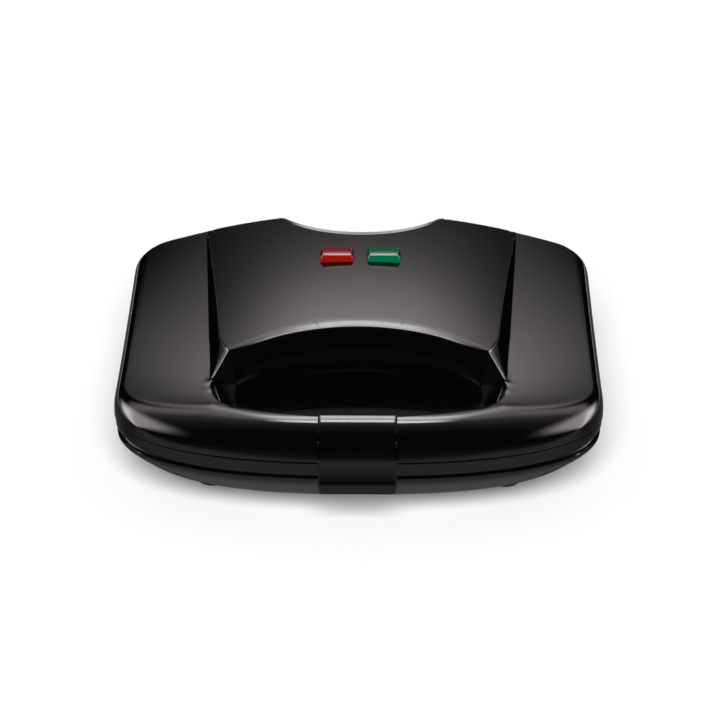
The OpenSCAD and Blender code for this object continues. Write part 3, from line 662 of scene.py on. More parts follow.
    def front_spokes(self, last_turn: float) -> list[Spoke]:
        """Returns the spokes from the front centre round to the end of the hand opening.

        They leave the lip square to it, run straight ahead beside the latch, and never cross.

        Args:
            last_turn: Turn at which the hood's foot meets the lip.
        """
        turn = np.linspace(-math.pi / 2, last_turn, self.fine_steps)
        lip = self.lip_point(turn)
        along = np.gradient(lip, axis=0)
        way = np.column_stack([along[:, 1], np.minimum(-along[:, 0], 0)])
        way /= np.linalg.norm(way, axis=1)[:, None]
        straight = smooth_step((lip[:, 0] - self.straight_half) / self.straight_fade)[:, None]
        way = way * straight + np.array([0.0, -1.0]) * (1 - straight)
        swing = np.maximum.accumulate(np.arctan2(way[:, 1], way[:, 0]))
        span = 2 * self.swing_reach + 1
        swing = np.convolve(np.pad(swing, self.swing_reach, "edge"), np.ones(span) / span, "valid")
        way = np.column_stack([np.cos(swing), np.sin(swing)])
        outer = self.fan(lip, way)
        measure = np.r_[0, np.cumsum(np.linalg.norm(np.diff(outer, axis=0), axis=1)
                                     + self.lip_weight * np.linalg.norm(np.diff(lip, axis=0), axis=1))]
        slot_at = np.interp(self.plan.slot_half, lip[:, 0], np.arange(len(lip)))
        slot_measure = np.interp(slot_at, np.arange(len(lip)), measure)
        wanted = np.r_[np.linspace(0, slot_measure, self.slot_spokes),
                       np.linspace(slot_measure, measure[-1], self.grip_spokes + 1)[1:]]
        at = np.interp(wanted, measure, turn)
        lips = self.lip_point(at)
        outers = np.column_stack([np.interp(at, turn, outer[:, 0]), np.interp(at, turn, outer[:, 1])])
        wells = self.well_point(at)
        count = len(self.band_shares)
        return [Spoke(w, p, np.tile(p, (count, 1)), b) for w, p, b in zip(wells, lips, outers)]

    def crossing(self, share: float) -> float:
        """Returns the turn at which the lip meets a given share of the hood's side."""
        turn = np.linspace(*self.crossing_turns, 1200)
        p = self.lip_point(turn)
        m = self.form.side_share(p[:, 0], p[:, 1])
        start = int(np.argmin(m))
        return float(np.interp(share, m[start:], turn[start:]))

    def side_spokes(self, first_turn: float, corner_turn: float, last_turn: float,
                    first_outer: np.ndarray) -> list[Spoke]:
        """Returns the spokes that cross the hood's side, from the opening's end to the rear corner.

        Args:
            first_turn: Turn at which the hood's foot meets the lip.
            corner_turn: Turn at which the hood's top edge leaves the lip.
            last_turn: Turn of the last spoke at the lip.
            first_outer: Outer end of the spoke before these.
        """
        form = self.form
        close = np.linspace(0, 1, self.end_spokes + 1)[1:]
        steps = np.linspace(0, 1, self.side_rows + 1)[1:]
        near = np.linspace(first_turn, corner_turn, self.end_spokes + 1)[1:]
        far_y = self.plan.rear_y - self.corner_step
        first_y = self.lip_point(np.array([first_turn]))[0, 1]
        rows_y = np.r_[first_y + (self.gate_y - first_y) * close, self.gate_y + (far_y - self.gate_y) * steps]
        turns = np.r_[near, corner_turn + (last_turn - corner_turn) * steps]
        half = self.plan.half_outline()
        begin = int(np.argmin(np.hypot(*(half - first_outer).T)))
        last_x = form.crease_rear + self.corner_step
        end = int(np.argmin(np.hypot(half[:, 0] - last_x, half[:, 1] - self.plan.rear_y)))
        path = np.vstack([first_outer, half[begin + 1:end], [last_x, self.plan.rear_y]])
        travel = np.r_[0, np.cumsum(np.linalg.norm(np.diff(path, axis=0), axis=1))]
        share = (rows_y - rows_y[0]) / (rows_y[-1] - rows_y[0])
        share = np.maximum.accumulate(np.clip(share, 0, 1))
        share[:self.slow_start] = np.linspace(0.004, share[self.slow_start], self.slow_start)
        outers = np.column_stack([np.interp(share * travel[-1], travel, path[:, 0]),
                                  np.interp(share * travel[-1], travel, path[:, 1])])
        spokes = []
        first, last = self.band_shares[0], self.band_shares[-1]
        corner_y = self.lip_point(np.array([corner_turn]))[0, 1]
        for k, (turn, y, outer) in enumerate(zip(turns, rows_y, outers)):
            lip = self.lip_point(np.array([turn]))[0]
            well = self.well_point(np.array([turn]))[0]
            beside = k < len(near)
            lip_share = min(first, float(form.side_share(lip[:1], lip[1:])[0])) if beside else first
            start_y = lip[1] if beside else corner_y
            late = 0.0 if beside else min(1.0, (k + 1 - len(near)) / self.catch_up)
            band = []
            for m in self.band_shares:
                if beside and m >= lip_share:
                    band.append(lip)
                    continue
                at = blend(start_y, y, blend((lip_share - m) / (lip_share - last), 1.0, late))
                crease, edge = float(form.crease(at)), float(form.edge(at))
                band.append(np.array([crease - m * (max(crease - edge, 1.0) if m > 0 else 10.0), at]))
            spokes.append(Spoke(well, lip, np.array(band), outer))
        return spokes

    def rear_spokes(self, first_turn: float) -> list[Spoke]:
        """Returns the spokes that end at the rear edge and in the recess, after the spoke at first_turn."""
        plan, form = self.plan, self.form
        first_x = form.crease_rear - self.rear_first
        plain = np.linspace(first_x, plan.notch_half, self.rear_edge_spokes + 1)[:-1]
        swing = np.linspace(math.asin(plan.notch_half / plan.notch_radius), 0, self.recess_spokes)
        r = plan.notch_radius
        outers = [np.array([x, plan.rear_y]) for x in plain]
        outers += [np.array([r * math.sin(a), plan.notch_y - r * math.cos(a)]) for a in swing]
        travel = np.r_[0, np.cumsum([np.linalg.norm(b - a) for a, b in zip(outers, outers[1:])])]
        turns = first_turn + (math.pi / 2 - first_turn) * travel / travel[-1]
        count = len(self.band_shares)
        far = self.rear_far
        falls = np.r_[far, np.geomspace(*self.rear_near, count - len(far) - 1), 0]
        spokes = []
        for k, (turn, outer) in enumerate(zip(turns, outers)):
            lip = self.lip_point(np.array([turn]))[0]
            well = self.well_point(np.array([turn]))[0]
            if k < len(plain):
                corner = smooth_step((outer[0] - plan.notch_half) / 6)
                band = np.array([outer - (0, d * blend(0.7, 1.0, corner)) for d in falls])
            else:
                way = (outer - (0, plan.notch_y)) / plan.notch_radius
                reach = np.linspace(0, 30, 600)
                line = outer + way * reach[:, None]
                gap = form.border(line[:, 0], line[:, 1]) - form.hood_plain(line[:, 0], line[:, 1])
                rim = float(np.interp(0, gap, reach)) if gap[0] < 0 else 0.0
                rim = max(rim, 0.5)
                before, foot = np.array(self.border_before), self.border_foot
                between = np.linspace(rim * 0.9, 0.7, count - len(before) - len(foot) - 1)
                stops = np.r_[rim + before, rim - before[-1], between, foot]
                band = np.array([outer + way * d for d in stops])
            spokes.append(Spoke(well, lip, band, outer, upright=True))
        return spokes

    def spokes(self) -> list[Spoke]:
        """Returns every spoke of the right half, from the front centre to the rear centre."""
        foot, top = self.crossing(0.0), self.crossing(1.5)
        last_turn = blend(top, math.pi / 2, self.rear_share)
        front = self.front_spokes(foot)
        side = self.side_spokes(foot, top, last_turn, front[-1].outer)
        rear = self.rear_spokes(last_turn)
        return front + side + rear

    def section(self, spoke: Spoke) -> tuple[np.ndarray, np.ndarray, np.ndarray]:
        """Lays out one spoke's points.

        Args:
            spoke: The spoke in plan.

        Returns:
            Plan points, a height to add to the surface's own, and a fixed height or NaN.
        """
        low = self.plan.lid_low
        lip_w = float(np.linalg.norm(spoke.lip - spoke.well))
        plan, drop, fixed = [], [], []

        def put(p: np.ndarray, down: float = 0.0, z: float = math.nan) -> None:
            """Adds one point."""
            plan.append(p)
            drop.append(down)
            fixed.append(z)

        for z in (low, low + 4, self.slot_wall_top):
            put(spoke.well, 0.0, z)
        wide = float(smooth_step((self.wide_half - abs(spoke.lip[0])) / self.wide_fade))
        crest = min(blend(self.crest, max(self.crest, self.wide_crest * lip_w), wide), 0.8 * lip_w)
        inner = max(lip_w - crest, 1e-6)
        for t in self.slope_shares:
            down = blend(crest + self.lip_slope * inner, crest, t)
            put(blend(spoke.well, spoke.lip, t * inner / lip_w), -down)
        for a in np.radians(self.crest_turns):
            put(blend(spoke.lip, spoke.well, crest * math.cos(a) / lip_w), -crest * (1 - math.sin(a)))
        first = spoke.band[0]
        for t in np.linspace(0, 1, self.deck_steps + 1)[:-1]:
            put(spoke.lip + (first - spoke.lip) * smooth_step(t) * 0.4 + (first - spoke.lip) * t * 0.6)
        for p in spoke.band:
            put(p)
        last = spoke.band[-1]
        if spoke.upright:
            for t in np.linspace(0, 1, self.wing_steps + self.roll_steps + 3)[1:]:
                put(spoke.outer, t, -1.0)
        else:
            span = float(np.linalg.norm(spoke.outer - last))
            reach = min(float(self.form.roll_reach(spoke.outer[1])) * 1.04, span * 0.999)
            turn_in = spoke.outer + (last - spoke.outer) * (reach / span if span > 0 else 0)
            for t in np.linspace(0, 1, self.wing_steps + 1)[1:]:
                put(last + (turn_in - last) * t)
            for a in np.linspace(0, math.pi / 2, self.roll_steps + 1)[1:]:
                put(turn_in + (spoke.outer - turn_in) * math.sin(a))
            put(spoke.outer)
            put(spoke.outer, 0.0, low)
        return np.array(plan), np.array(drop), np.array(fixed)

    def surface(self) -> tuple[np.ndarray, int, int]:
        """Computes the outer sheet.

        Returns:
            Points (spoke by spoke), the number of spokes and the points on each.
        """
        low, wall = self.plan.lid_low, self.wall_points
        deck = wall + len(self.slope_shares) + len(self.crest_turns)
        rows = []
        all_spokes = self.spokes()
        laid = [self.section(s) for s in all_spokes]
        plans = np.vstack([p for p, _, _ in laid])
        heights = self.soft_height(plans).reshape(len(laid), -1)
        for spoke, (plan, drop, fixed), z in zip(all_spokes, laid, heights):
            away = np.linalg.norm(plan - spoke.lip, axis=1)
            if spoke.upright:
                n = self.wing_steps + self.roll_steps + 2
                rim = z[-n - 1]
                z[-n:] = rim + (low - rim) * drop[-n:]
                k = int(np.argmin(np.abs(z[-n:] - self.hinge_top)))
                z[-n + k] = self.hinge_top
                z[:-n] += drop[:-n]
                fixed[-n:] = math.nan
            else:
                z += drop
                z[-2] = (z[-3] + low) / 2
            reach, depth = self.brow
            rear = float(smooth_step((spoke.lip[1] - self.plan.well_y - 5) / 5))
            z[deck:] -= rear * depth * np.clip(1 - away[deck:] / reach, 0, 1) ** 2
            z[wall:deck] = z[deck] + drop[wall:deck]
            z = np.where(np.isnan(fixed), z, fixed)
            z[wall:deck] = np.maximum(z[wall:deck], z[wall - 1] + 0.05)
            rows.append(np.column_stack([plan, z]))
        right = np.array(rows)
        left = right[1:-1][::-1] * (-1, 1, 1)
        return np.concatenate([right, left]), len(right) + len(left), right.shape[1]

    def soft_height(self, at: np.ndarray) -> np.ndarray:
        """Returns the surface's height at plan points, averaged closely round the opening's ends."""
        x, y, reach, size = self.soft_end
        near = np.hypot(np.abs(at[:, 0]) - x, at[:, 1] - y)
        spread = size * (1 - smooth_step((near - reach) / reach))
        z = self.form.height(at[:, 0], at[:, 1])
        chosen = spread > 0.01
        x, y, spread = at[chosen, 0], at[chosen, 1], spread[chosen]
        total, weight = z[chosen].copy(), 1.0
        for ring, share in self.soft_rings:
            for turn in np.arange(self.soft_points) * math.tau / self.soft_points + ring:
                aside, ahead = spread * ring * math.cos(turn), spread * ring * math.sin(turn)
                total += share * ring * self.form.height(x + aside, y + ahead)
                weight += share * ring
        z[chosen] = total / weight
        return z

    def build(self) -> Piece:
        """Builds the shell: the outer sheet with its slot and hinge notches, given the wall's thickness."""
        points, spokes, levels = self.surface()
        flat = points.reshape(-1, 3)
        faces = []
        for i in range(spokes):
            k = (i + 1) % spokes
            for j in range(levels - 1):
                quad = (i * levels + j, i * levels + j + 1, k * levels + j + 1, k * levels + j)
                x, y, z = flat[list(quad)].mean(0)
                slot = abs(x) < self.plan.slot_half and y < self.plan.well_y and j >= self.wall_points - 1
                beside = abs(abs(x) - self.plan.hinge_x) < self.hinge_half
                hinge = beside and y > self.hinge_from_y and z < self.hinge_top
                if not (slot or hinge):
                    faces.append(quad)
        mesh = bpy.data.meshes.new("lid_shell")
        mesh.from_pydata((flat * MM).tolist(), [], faces)
        obj = finish_mesh("lid_shell", mesh, self.sharp_deg, 4e-6)
        self.outwards(obj)
        modifier = obj.modifiers.new("wall", "SOLIDIFY")
        modifier.thickness, modifier.offset = self.plan.wall * MM, -1.0
        modifier.use_even_offset, modifier.use_rim = False, True
        apply_modifiers(obj)
        LOG.info("lid shell: %d faces", len(obj.data.polygons))
        return resmooth(obj, self.sharp_deg)

    @staticmethod
    def outwards(obj: Piece) -> None:
        """Turns an open sheet's faces so that its top faces look up."""
        up = sum(p.normal.z * p.area for p in obj.data.polygons)
        if up < 0:
            obj.data.flip_normals()


# ------------------------------------------------------------------ base housing

@dataclass
class BaseHousing:
    """The base's glossy shell with its walls round the hand opening, cord recess, latch and screws."""
    plan: BodyPlan = field(default_factory=BodyPlan)
    under_z: float = 8.0
    top_z: float = 39.25
    band_low: float = 34.65
    groove_low: float = 31.05
    groove_inset: float = 2.6
    screw_posts: Pairs = ((83.95, -62.0), (90.1, 88.05))
    post_radius: float = 4.6
    screw_hole: float = 1.56
    head_hole: float = 3.4
    head_floor: float = 29.25
    feet: Pairs = ((73.99, -46.0), (73.99, 57.996))
    foot_hole: float = 3.06
    clamp_post: tuple[float, float] = (7.3, 71.8)
    clamp_post_radius: float = 3.0
    gland_y: float = 82.5
    gland_z: float = 22.0
    gland_hole: float = 6.56
    gland_wall: float = 2.94
    pin_hole: float = 2.06
    catch_front: float = -103.6
    catch_back: float = -99.8
    catch_z: float = 28.0
    hinge_y: float = 105.0
    hinge_z: float = 44.0
    knuckle_radius: float = 6.0
    knuckle_half: float = 4.6
    side_play: float = 0.4
    lug: float = 6.0

    def ring(self, inset: float, z: float, steps: int) -> np.ndarray:
        """Returns the outline at a height, drawn in towards the middle by inset.

        Args:
            inset: How far the sides are drawn in.
            z: Height of the ring.
            steps: Steps of the round front.
        """
        flat = self.plan.outline(steps)
        middle = self.plan.middle_y
        depth = self.plan.rear_y - self.plan.front_y
        x = flat[:, 0] * (1 - inset / self.plan.half_width)
        y = middle + (flat[:, 1] - middle) * (1 - 2 * inset / depth)
        return np.column_stack([x, y, np.full(len(x), z)])

    def skin(self) -> Piece:
        """Builds the solid inside the outer surface: a bowl, the shadow groove and the band over it."""
        g, b, d = self.groove_low, self.band_low, self.groove_inset
        bowl = smooth_path([(34, self.under_z), (26, 10.5), (16, 15), (8, g - 9.3), (3.4, g - 4.8),
                            (1.6, g - 2.3), (1.15, g - 0.7)])
        step = [(1.3, g - 0.2), (1.6, g), (d - 0.2, g + 0.12), (d, g + 0.3), (d, b - 0.3), (d - 0.2, b - 0.1)]
        band = [(1.1, b), (0.75, b + 0.12), (0.6, b + 0.5), (0.35, self.top_z - 0.7),
                (0.42, self.top_z - 0.25), (0.75, self.top_z)]
        return loft("base_shell", [self.ring(i, z, 110) for i, z in [*bowl, *step, *band]], 28.0)

    def hollow(self) -> Piece:
        """Builds the space inside the shell, with the inner walls left out of it."""
        g, w, plan = self.groove_low, self.plan.wall, self.plan
        path = [(34 - w, self.under_z + w), (26, 10.5 + w), (17, 16 + w), (10.4, g - 8), (6.6, g - 3.6),
                (5.2, g - 1.6), (5.2, self.top_z + 1)]
        space = loft("hollow", [self.ring(i, z, 48) for i, z in path])
        top = plan.parting_z + 5
        combine(space, self.well(w, -1, top))
        drill(space, 0, plan.notch_y, -1, top, plan.notch_radius + w, 160)
        self.cut_slot(space, plan.slot_half + w, plan.front_y - 1, self.catch_back + w, -1, top)
        for side in (-1, 1):
            for x, y in self.screw_posts:
                drill(space, side * x, y, 0, self.top_z - 3, self.post_radius)
            x, y = self.clamp_post
            drill(space, side * x, y, 0, self.gland_z, self.clamp_post_radius)
        return self.cut_gland(space, 5, self.gland_hole + self.gland_wall)

    @staticmethod
    def cut_slot(solid: Piece, half: float, front: float, back: float, low: float, high: float) -> None:
        """Cuts the latch's slot."""
        combine(solid, block("slot", (-half, front, low), (half, back, high)))

    def cut_gland(self, solid: Piece, reach: float, radius: float) -> Piece:
        """Cuts the cord gland's hole, which runs along Y."""
        y, z = self.gland_y, self.gland_z
        return combine(solid, rod("gland", (0, y - reach, z), (0, y + reach, z), radius))

    def well(self, grow: float, low: float, high: float) -> Piece:
        """Builds a cutter in the shape of the hand opening."""
        flat = self.plan.well_point(np.linspace(0, 2 * math.pi, 144, endpoint=False), grow)
        return loft("well", [np.column_stack([flat, np.full(len(flat), z)]) for z in (low, high)])

    def lugs(self) -> Piece:
        """Builds the four hinge lugs."""
        parts = []
        r, low = self.knuckle_radius, self.plan.parting_z - 17
        for side in (-1, 1):
            for hand in (-1, 1):
                a = side * self.plan.hinge_x + hand * (self.knuckle_half + self.side_play)
                b = a + hand * self.lug
                turn = np.linspace(0, math.pi, 25)
                arc = np.column_stack([self.hinge_y + r * np.cos(turn), self.hinge_z + r * np.sin(turn)])
                shape = np.vstack([arc, [self.hinge_y - r, low], [self.hinge_y + r, low]])
                parts.append(rounded(extruded("lug", shape, sorted((a, b))), 0.4, 2))
        return join("lugs", parts)

    def build(self) -> Piece:
        """Builds the shell."""
        plan, top = self.plan, self.plan.parting_z + 6
        shell = combine(self.skin(), self.hollow())
        combine(shell, self.lugs(), "UNION")
        combine(shell, self.well(0.0, -2, top))
        drill(shell, 0, plan.notch_y, -2, top, plan.notch_radius, 220)
        self.cut_slot(shell, plan.slot_half, plan.front_y - 5, self.catch_front, -2, top)
        self.cut_slot(shell, plan.slot_half, plan.front_y - 5, self.catch_back, -2, self.catch_z)
        self.cut_gland(shell, 20, self.gland_hole)
        y, z = self.hinge_y, self.hinge_z
        room = self.knuckle_half + self.side_play
        for side in (-1, 1):
            x = side * plan.hinge_x
            drill_across(shell, x, room, y, z, self.knuckle_radius + self.side_play, 64)
            drill_across(shell, x, room + self.lug + 1, y, z, self.pin_hole)
            for px, py in self.screw_posts:
                drill(shell, side * px, py, -1, self.top_z, self.screw_hole)
                drill(shell, side * px, py, -1, self.head_floor, self.head_hole)
            for px, py in self.feet:
                drill(shell, side * px, py, self.under_z - 1, self.under_z + 4, self.foot_hole)
        LOG.info("base shell: %d faces", len(shell.data.polygons))
        return resmooth(shell, 28.0)


# ------------------------------------------------------------------ latch and lenses

@dataclass
class Latch:
    """The latch plate: it follows the rolled front of the grip and ends in a finger tab."""
    form: LidForm = field(default_factory=LidForm)
    half_width: float = 18.5
    thickness: float = 2.4
    proud: float = 0.8
    tab_proud: float = 2.2
    tab_height: float = 6.0
    low_z: float = 24.0
    #: how far back over the grip the plate reaches
    roll_depth: float = 15.6
    nose_y: float = -104.0
    nose_top: float = 27.6
    pivot_y: float = -99.5
    pivot_z: float = 45.5
    boss_radius: float = 3.4
    pin_hole: float = 1.56
    tab_corner: float = 2.2
    #: width of the narrow strip at each side edge
    edge: float = 1.2
    #: the web from the boss to the plate, about the pin: its ends along Y and Z
    web_y: tuple[float, float] = (-5.5, -0.4)
    web_z: tuple[float, float] = (-2.0, 2.5)

    def roll_point(self, turn: float, out: float) -> tuple[float, float]:
        """Returns a point at a distance outside the grip's rolled front, in the YZ plane.

        Args:
            turn: Angle on the roll, 0 at the front.
            out: Distance outside it, negative inside.
        """
        form, t = self.form, math.cos(turn)
        power, down, reach = form.roll_power, form.front_roll_down, form.grip_roll_in
        rise = math.sqrt(max(1e-12, 1 - t ** power))
        slope = down * power / 2 * t ** (power - 1) / reach
        way = np.array([-slope, rise]) / math.hypot(slope, rise) * out
        y, z = form.plan.front_y + reach * (1 - t), form.grip_top - down * (1 - rise)
        return y + way[0], z + way[1]

    def profile(self) -> np.ndarray:
        """Returns the plate's side profile as a closed ring in the YZ plane."""
        end = math.acos(1 - self.roll_depth / self.form.grip_roll_in)
        turns = np.linspace(end, 0, 30)
        outer_y = self.form.plan.front_y - self.proud
        tab_y = outer_y - self.tab_proud
        tab_top = self.low_z + self.tab_height
        inner_y = outer_y + self.thickness
        outer = [self.roll_point(t, self.proud) for t in turns]
        low_z, nose_y = self.low_z, self.nose_y
        ledge = [(outer_y, tab_top + 0.5), (outer_y - 0.08, tab_top + 0.2), (outer_y - 0.3, tab_top + 0.06),
                 (tab_y + 0.35, tab_top - 0.12), (tab_y + 0.08, tab_top - 0.3), (tab_y, tab_top - 0.8)]
        foot = [(tab_y, low_z + 0.9), (tab_y + 0.25, low_z + 0.3), (tab_y + 0.9, low_z)]
        nose = [(nose_y - 1.2, low_z), (nose_y, low_z + 1.2), (nose_y, self.nose_top),
                (inner_y, self.nose_top + 0.4)]
        inner = [self.roll_point(t, self.proud - self.thickness) for t in turns[::-1]]
        return np.array([*outer, *ledge, *foot, *nose, *inner])

    def build(self) -> Piece:
        """Builds the latch."""
        w, y, z = self.half_width, self.pivot_y, self.pivot_z
        plate = extruded("latch_plate", self.profile(), (-w, self.edge - w, w - self.edge, w), 24.0)
        r, low = self.tab_corner, self.low_z
        front, back = self.form.plan.front_y - 8, self.nose_y + 3
        for side in (-1, 1):
            x, end = side * (w - r), side * (w + 1)
            corner = block("corner", (min(x, end), front, low - 1), (max(x, end), back, low + r))
            combine(corner, rod("corner_round", (x, front - 2, low + r), (x, back + 3, low + r), r))
            combine(plate, corner)
        combine(plate, rod("boss", (-w, y, z), (w, y, z), self.boss_radius), "UNION")
        (y0, y1), (z0, z1) = self.web_y, self.web_z
        combine(plate, block("web", (-w, y + y0, z + z0), (w, y + y1, z + z1)), "UNION")
        drill_across(plate, 0, w + 1, y, z, self.pin_hole)
        return rounded(plate, 0.35, 2, 34.0)


@dataclass(frozen=True)
class Lens:
    """A tinted jewel over a pilot lamp, with a neck through the hood and a flange under it."""
    side: int
    pitch: float = 24.4
    width: float = 17.7
    depth: float = 13.7
    height: float = 3.2
    y: float = 43.3
    top_scale: float = 0.86
    #: how far the flange stands out, and its lower and upper face under the hood's surface
    flange: float = 1.65
    flange_z: tuple[float, float] = (-4.6, -3.4)
    rounding: float = 0.45

    def build(self, form: LidForm) -> Piece:
        """Builds the jewel on the hood's surface."""
        x = self.side * self.pitch / 2
        z = float(form.hood_plain(np.array(x), np.array(self.y)))
        w, d, out = self.width / 2, self.depth / 2, self.flange
        low, high = self.flange_z
        rows = [(low, w + out, d + out), (high, w + out, d + out), (high, w, d), (0.0, w, d),
                (self.height, w * self.top_scale, d * self.top_scale)]
        rings = [np.array([(x - a, self.y - b, z + h), (x + a, self.y - b, z + h), (x + a, self.y + b, z + h),
                           (x - a, self.y + b, z + h)]) for h, a, b in rows]
        return rounded(loft("lens", rings), self.rounding, 3)


# ------------------------------------------------------------------ pieces made by Geometry Nodes

class Nodes:
    """Short ways to place and link nodes in one node tree."""

    def __init__(self, tree: Tree) -> None:
        """Keeps the tree that nodes are added to."""
        self.tree = tree

    def add(self, kind: str, values: dict[str | int, object] | None = None,
            **settings: object) -> bpy.types.Node:
        """Adds a node.

        Args:
            kind: Blender's node type name.
            values: Inputs by name or index: a socket is linked, anything else becomes the input's value.
            **settings: Properties of the node itself.

        Returns:
            The node.
        """
        node = self.tree.nodes.new(kind)
        for name, value in settings.items():
            setattr(node, name, value)
        for key, value in (values or {}).items():
            if isinstance(value, Socket):
                self.tree.links.new(value, node.inputs[key])
            else:
                node.inputs[key].default_value = value
        return node

    def math(self, operation: str, a: object, b: object = 0.0, c: object = 0.0) -> Socket:
        """Returns the result of a math node."""
        return self.add("ShaderNodeMath", {0: a, 1: b, 2: c}, operation=operation).outputs[0]

    def plus(self, a: object, b: object) -> Socket:
        """Returns a sum."""
        return self.math("ADD", a, b)

    def minus(self, a: object, b: object) -> Socket:
        """Returns a difference."""
        return self.math("SUBTRACT", a, b)

    def times(self, a: object, b: object) -> Socket:
        """Returns a product."""
        return self.math("MULTIPLY", a, b)

    def mix(self, share: Socket, a: object, b: object) -> Socket:
        """Returns the value a share of the way from a to b."""
        return self.add("ShaderNodeMix", {0: share, 2: a, 3: b}).outputs[0]

    def triple(self, kind: str, values: Sequence[object]) -> Socket:
        """Returns three values put together by a node that combines them."""
        return self.add(kind, dict(enumerate(values))).outputs[0]

    def ramp(self, value: Socket, low: float, high: float, to_low: float = 0.0, to_high: float = 1.0,
             smooth: bool = True) -> Socket:
        """Returns value mapped from low..high to to_low..to_high, clamped."""
        node = self.add("ShaderNodeMapRange", {"Value": value, "From Min": low, "From Max": high,
                                               "To Min": to_low, "To Max": to_high})
        node.interpolation_type = "SMOOTHSTEP" if smooth else "LINEAR"
        return node.outputs["Result"]


class GeometryGroup:
    """A Geometry Nodes tree with named inputs, whose result becomes plain mesh."""

    def __init__(self, name: str, inputs: dict[str, tuple[str, object]]) -> None:
        """Makes the tree.

        Args:
            name: The tree's name.
            inputs: Each input's socket type and first value, by label.
        """
        self.tree = bpy.data.node_groups.new(name, "GeometryNodeTree")
        face = self.tree.interface
        face.new_socket("Geometry", in_out="OUTPUT", socket_type="NodeSocketGeometry")
        face.new_socket("Geometry", in_out="INPUT", socket_type="NodeSocketGeometry")
        for label, (kind, value) in {**inputs, "Material": ("Material", None)}.items():
            socket = face.new_socket(label, in_out="INPUT", socket_type="NodeSocket" + kind)
            if value is not None:
                socket.default_value = value
        self.n = Nodes(self.tree)
        self.given = self.n.add("NodeGroupInput").outputs

    def close(self, geometry: Socket) -> None:
        """Ends the tree: instances become real and take the material."""
        real = self.n.add("GeometryNodeRealizeInstances", {"Geometry": geometry})
        paint = self.given["Material"]
        done = self.n.add("GeometryNodeSetMaterial", {"Geometry": real.outputs[0], "Material": paint})
        self.n.add("NodeGroupOutput", {"Geometry": done.outputs[0]})

    def apply(self, obj: Piece, values: dict[str, object]) -> Piece:
        """Runs the tree on an object with given inputs, and keeps the result as plain mesh.

        Args:
            obj: The object that the tree starts from.
            values: Inputs by label.
        """
        modifier = obj.modifiers.new("nodes", "NODES")
        modifier.node_group = self.tree
        items = self.tree.interface.items_tree
        labels = {item.name: item.identifier for item in items if item.in_out == "INPUT"}
        for label, value in values.items():
            modifier[labels[label]] = value
        return apply_modifiers(obj)


def seed_object(name: str, points: Points, edges: Sequence[tuple[int, int]] = ()) -> Piece:
    """Makes an object of loose points and edges, in millimetres, that a tree starts from."""
    mesh = bpy.data.meshes.new(name)
    mesh.from_pydata([[c * MM for c in q] for q in points], list(edges), [])
    return linked(name, mesh)


class Copies:
    """Places copies of one piece on points, each turned about its own axis by a fixed random angle."""

    def __init__(self) -> None:
        """Builds the tree."""
        inputs = {"Source": ("Object", None), "Turn Limit": ("Float", 0.0), "Seed": ("Int", 7)}
        self.group = GeometryGroup("copies", inputs)
        n, given = self.group.n, self.group.given
        source = n.add("GeometryNodeObjectInfo", {"Object": given["Source"]}, transform_space="ORIGINAL")
        aim = n.add("GeometryNodeInputNamedAttribute", {"Name": "aim"}, data_type="FLOAT_VECTOR")
        copies = n.add("GeometryNodeInstanceOnPoints", {
            "Points": given["Geometry"], "Instance": source.outputs["Geometry"], "Rotation": aim.outputs[0]})
        chance = n.add("FunctionNodeRandomValue", {"Seed": given["Seed"]}, data_type="FLOAT")
        turn = n.times(chance.outputs[1], given["Turn Limit"])
        swing = n.add("ShaderNodeCombineXYZ", {"Z": turn})
        turned = n.add("GeometryNodeRotateInstances", {
            "Instances": copies.outputs[0], "Rotation": swing.outputs[0], "Local Space": True})
        self.group.close(turned.outputs[0])

    def place(self, name: str, source: Piece, material: Material,
              spots: Sequence[tuple[Sequence[float], Sequence[float]]], turn_limit: float = math.tau,
              seed: int = 7) -> Piece:
        """Places the copies.

        Args:
            name: Name of the result.
            source: Piece to copy, which is removed afterwards.
            material: Material of the copies.
            spots: Each copy's place in millimetres and its aim as Euler angles in degrees.
            turn_limit: Largest turn about a copy's own axis, in radians.
            seed: Seed of the turns.

        Returns:
            The copies as one plain mesh.
        """
        obj = seed_object(name, [place for place, _ in spots])
        aims = obj.data.attributes.new("aim", "FLOAT_VECTOR", "POINT")
        for item, (_, angles) in zip(aims.data, spots):
            item.vector = [math.radians(a) for a in angles]
        values = {"Source": source, "Turn Limit": turn_limit, "Seed": seed, "Material": material}
        self.group.apply(obj, values)
        bpy.data.objects.remove(source)
        return obj


class Tube:
    """Sweeps a round section along a path."""

    def __init__(self) -> None:
        """Builds the tree."""
        self.group = GeometryGroup("tube", {"Radius": ("Float", MM), "Sides": ("Int", 20)})
        n, given = self.group.n, self.group.given
        path = n.add("GeometryNodeMeshToCurve", {"Mesh": given["Geometry"]})
        ring = n.add("GeometryNodeCurvePrimitiveCircle", {
            "Resolution": given["Sides"], "Radius": given["Radius"]})
        tube = n.add("GeometryNodeCurveToMesh", {
            "Curve": path.outputs[0], "Profile Curve": ring.outputs[0], "Fill Caps": True})
        smooth = n.add("GeometryNodeSetShadeSmooth", {"Geometry": tube.outputs[0]})
        self.group.close(smooth.outputs[0])

    def sweep(self, name: str, path: np.ndarray, radius: float, material: Material) -> Piece:
        """Sweeps one tube along a path of points, all in millimetres."""
        obj = seed_object(name, path, [(k, k + 1) for k in range(len(path) - 1)])
        self.group.apply(obj, {"Radius": radius * MM, "Material": material})
        return resmooth(obj, 50.0)


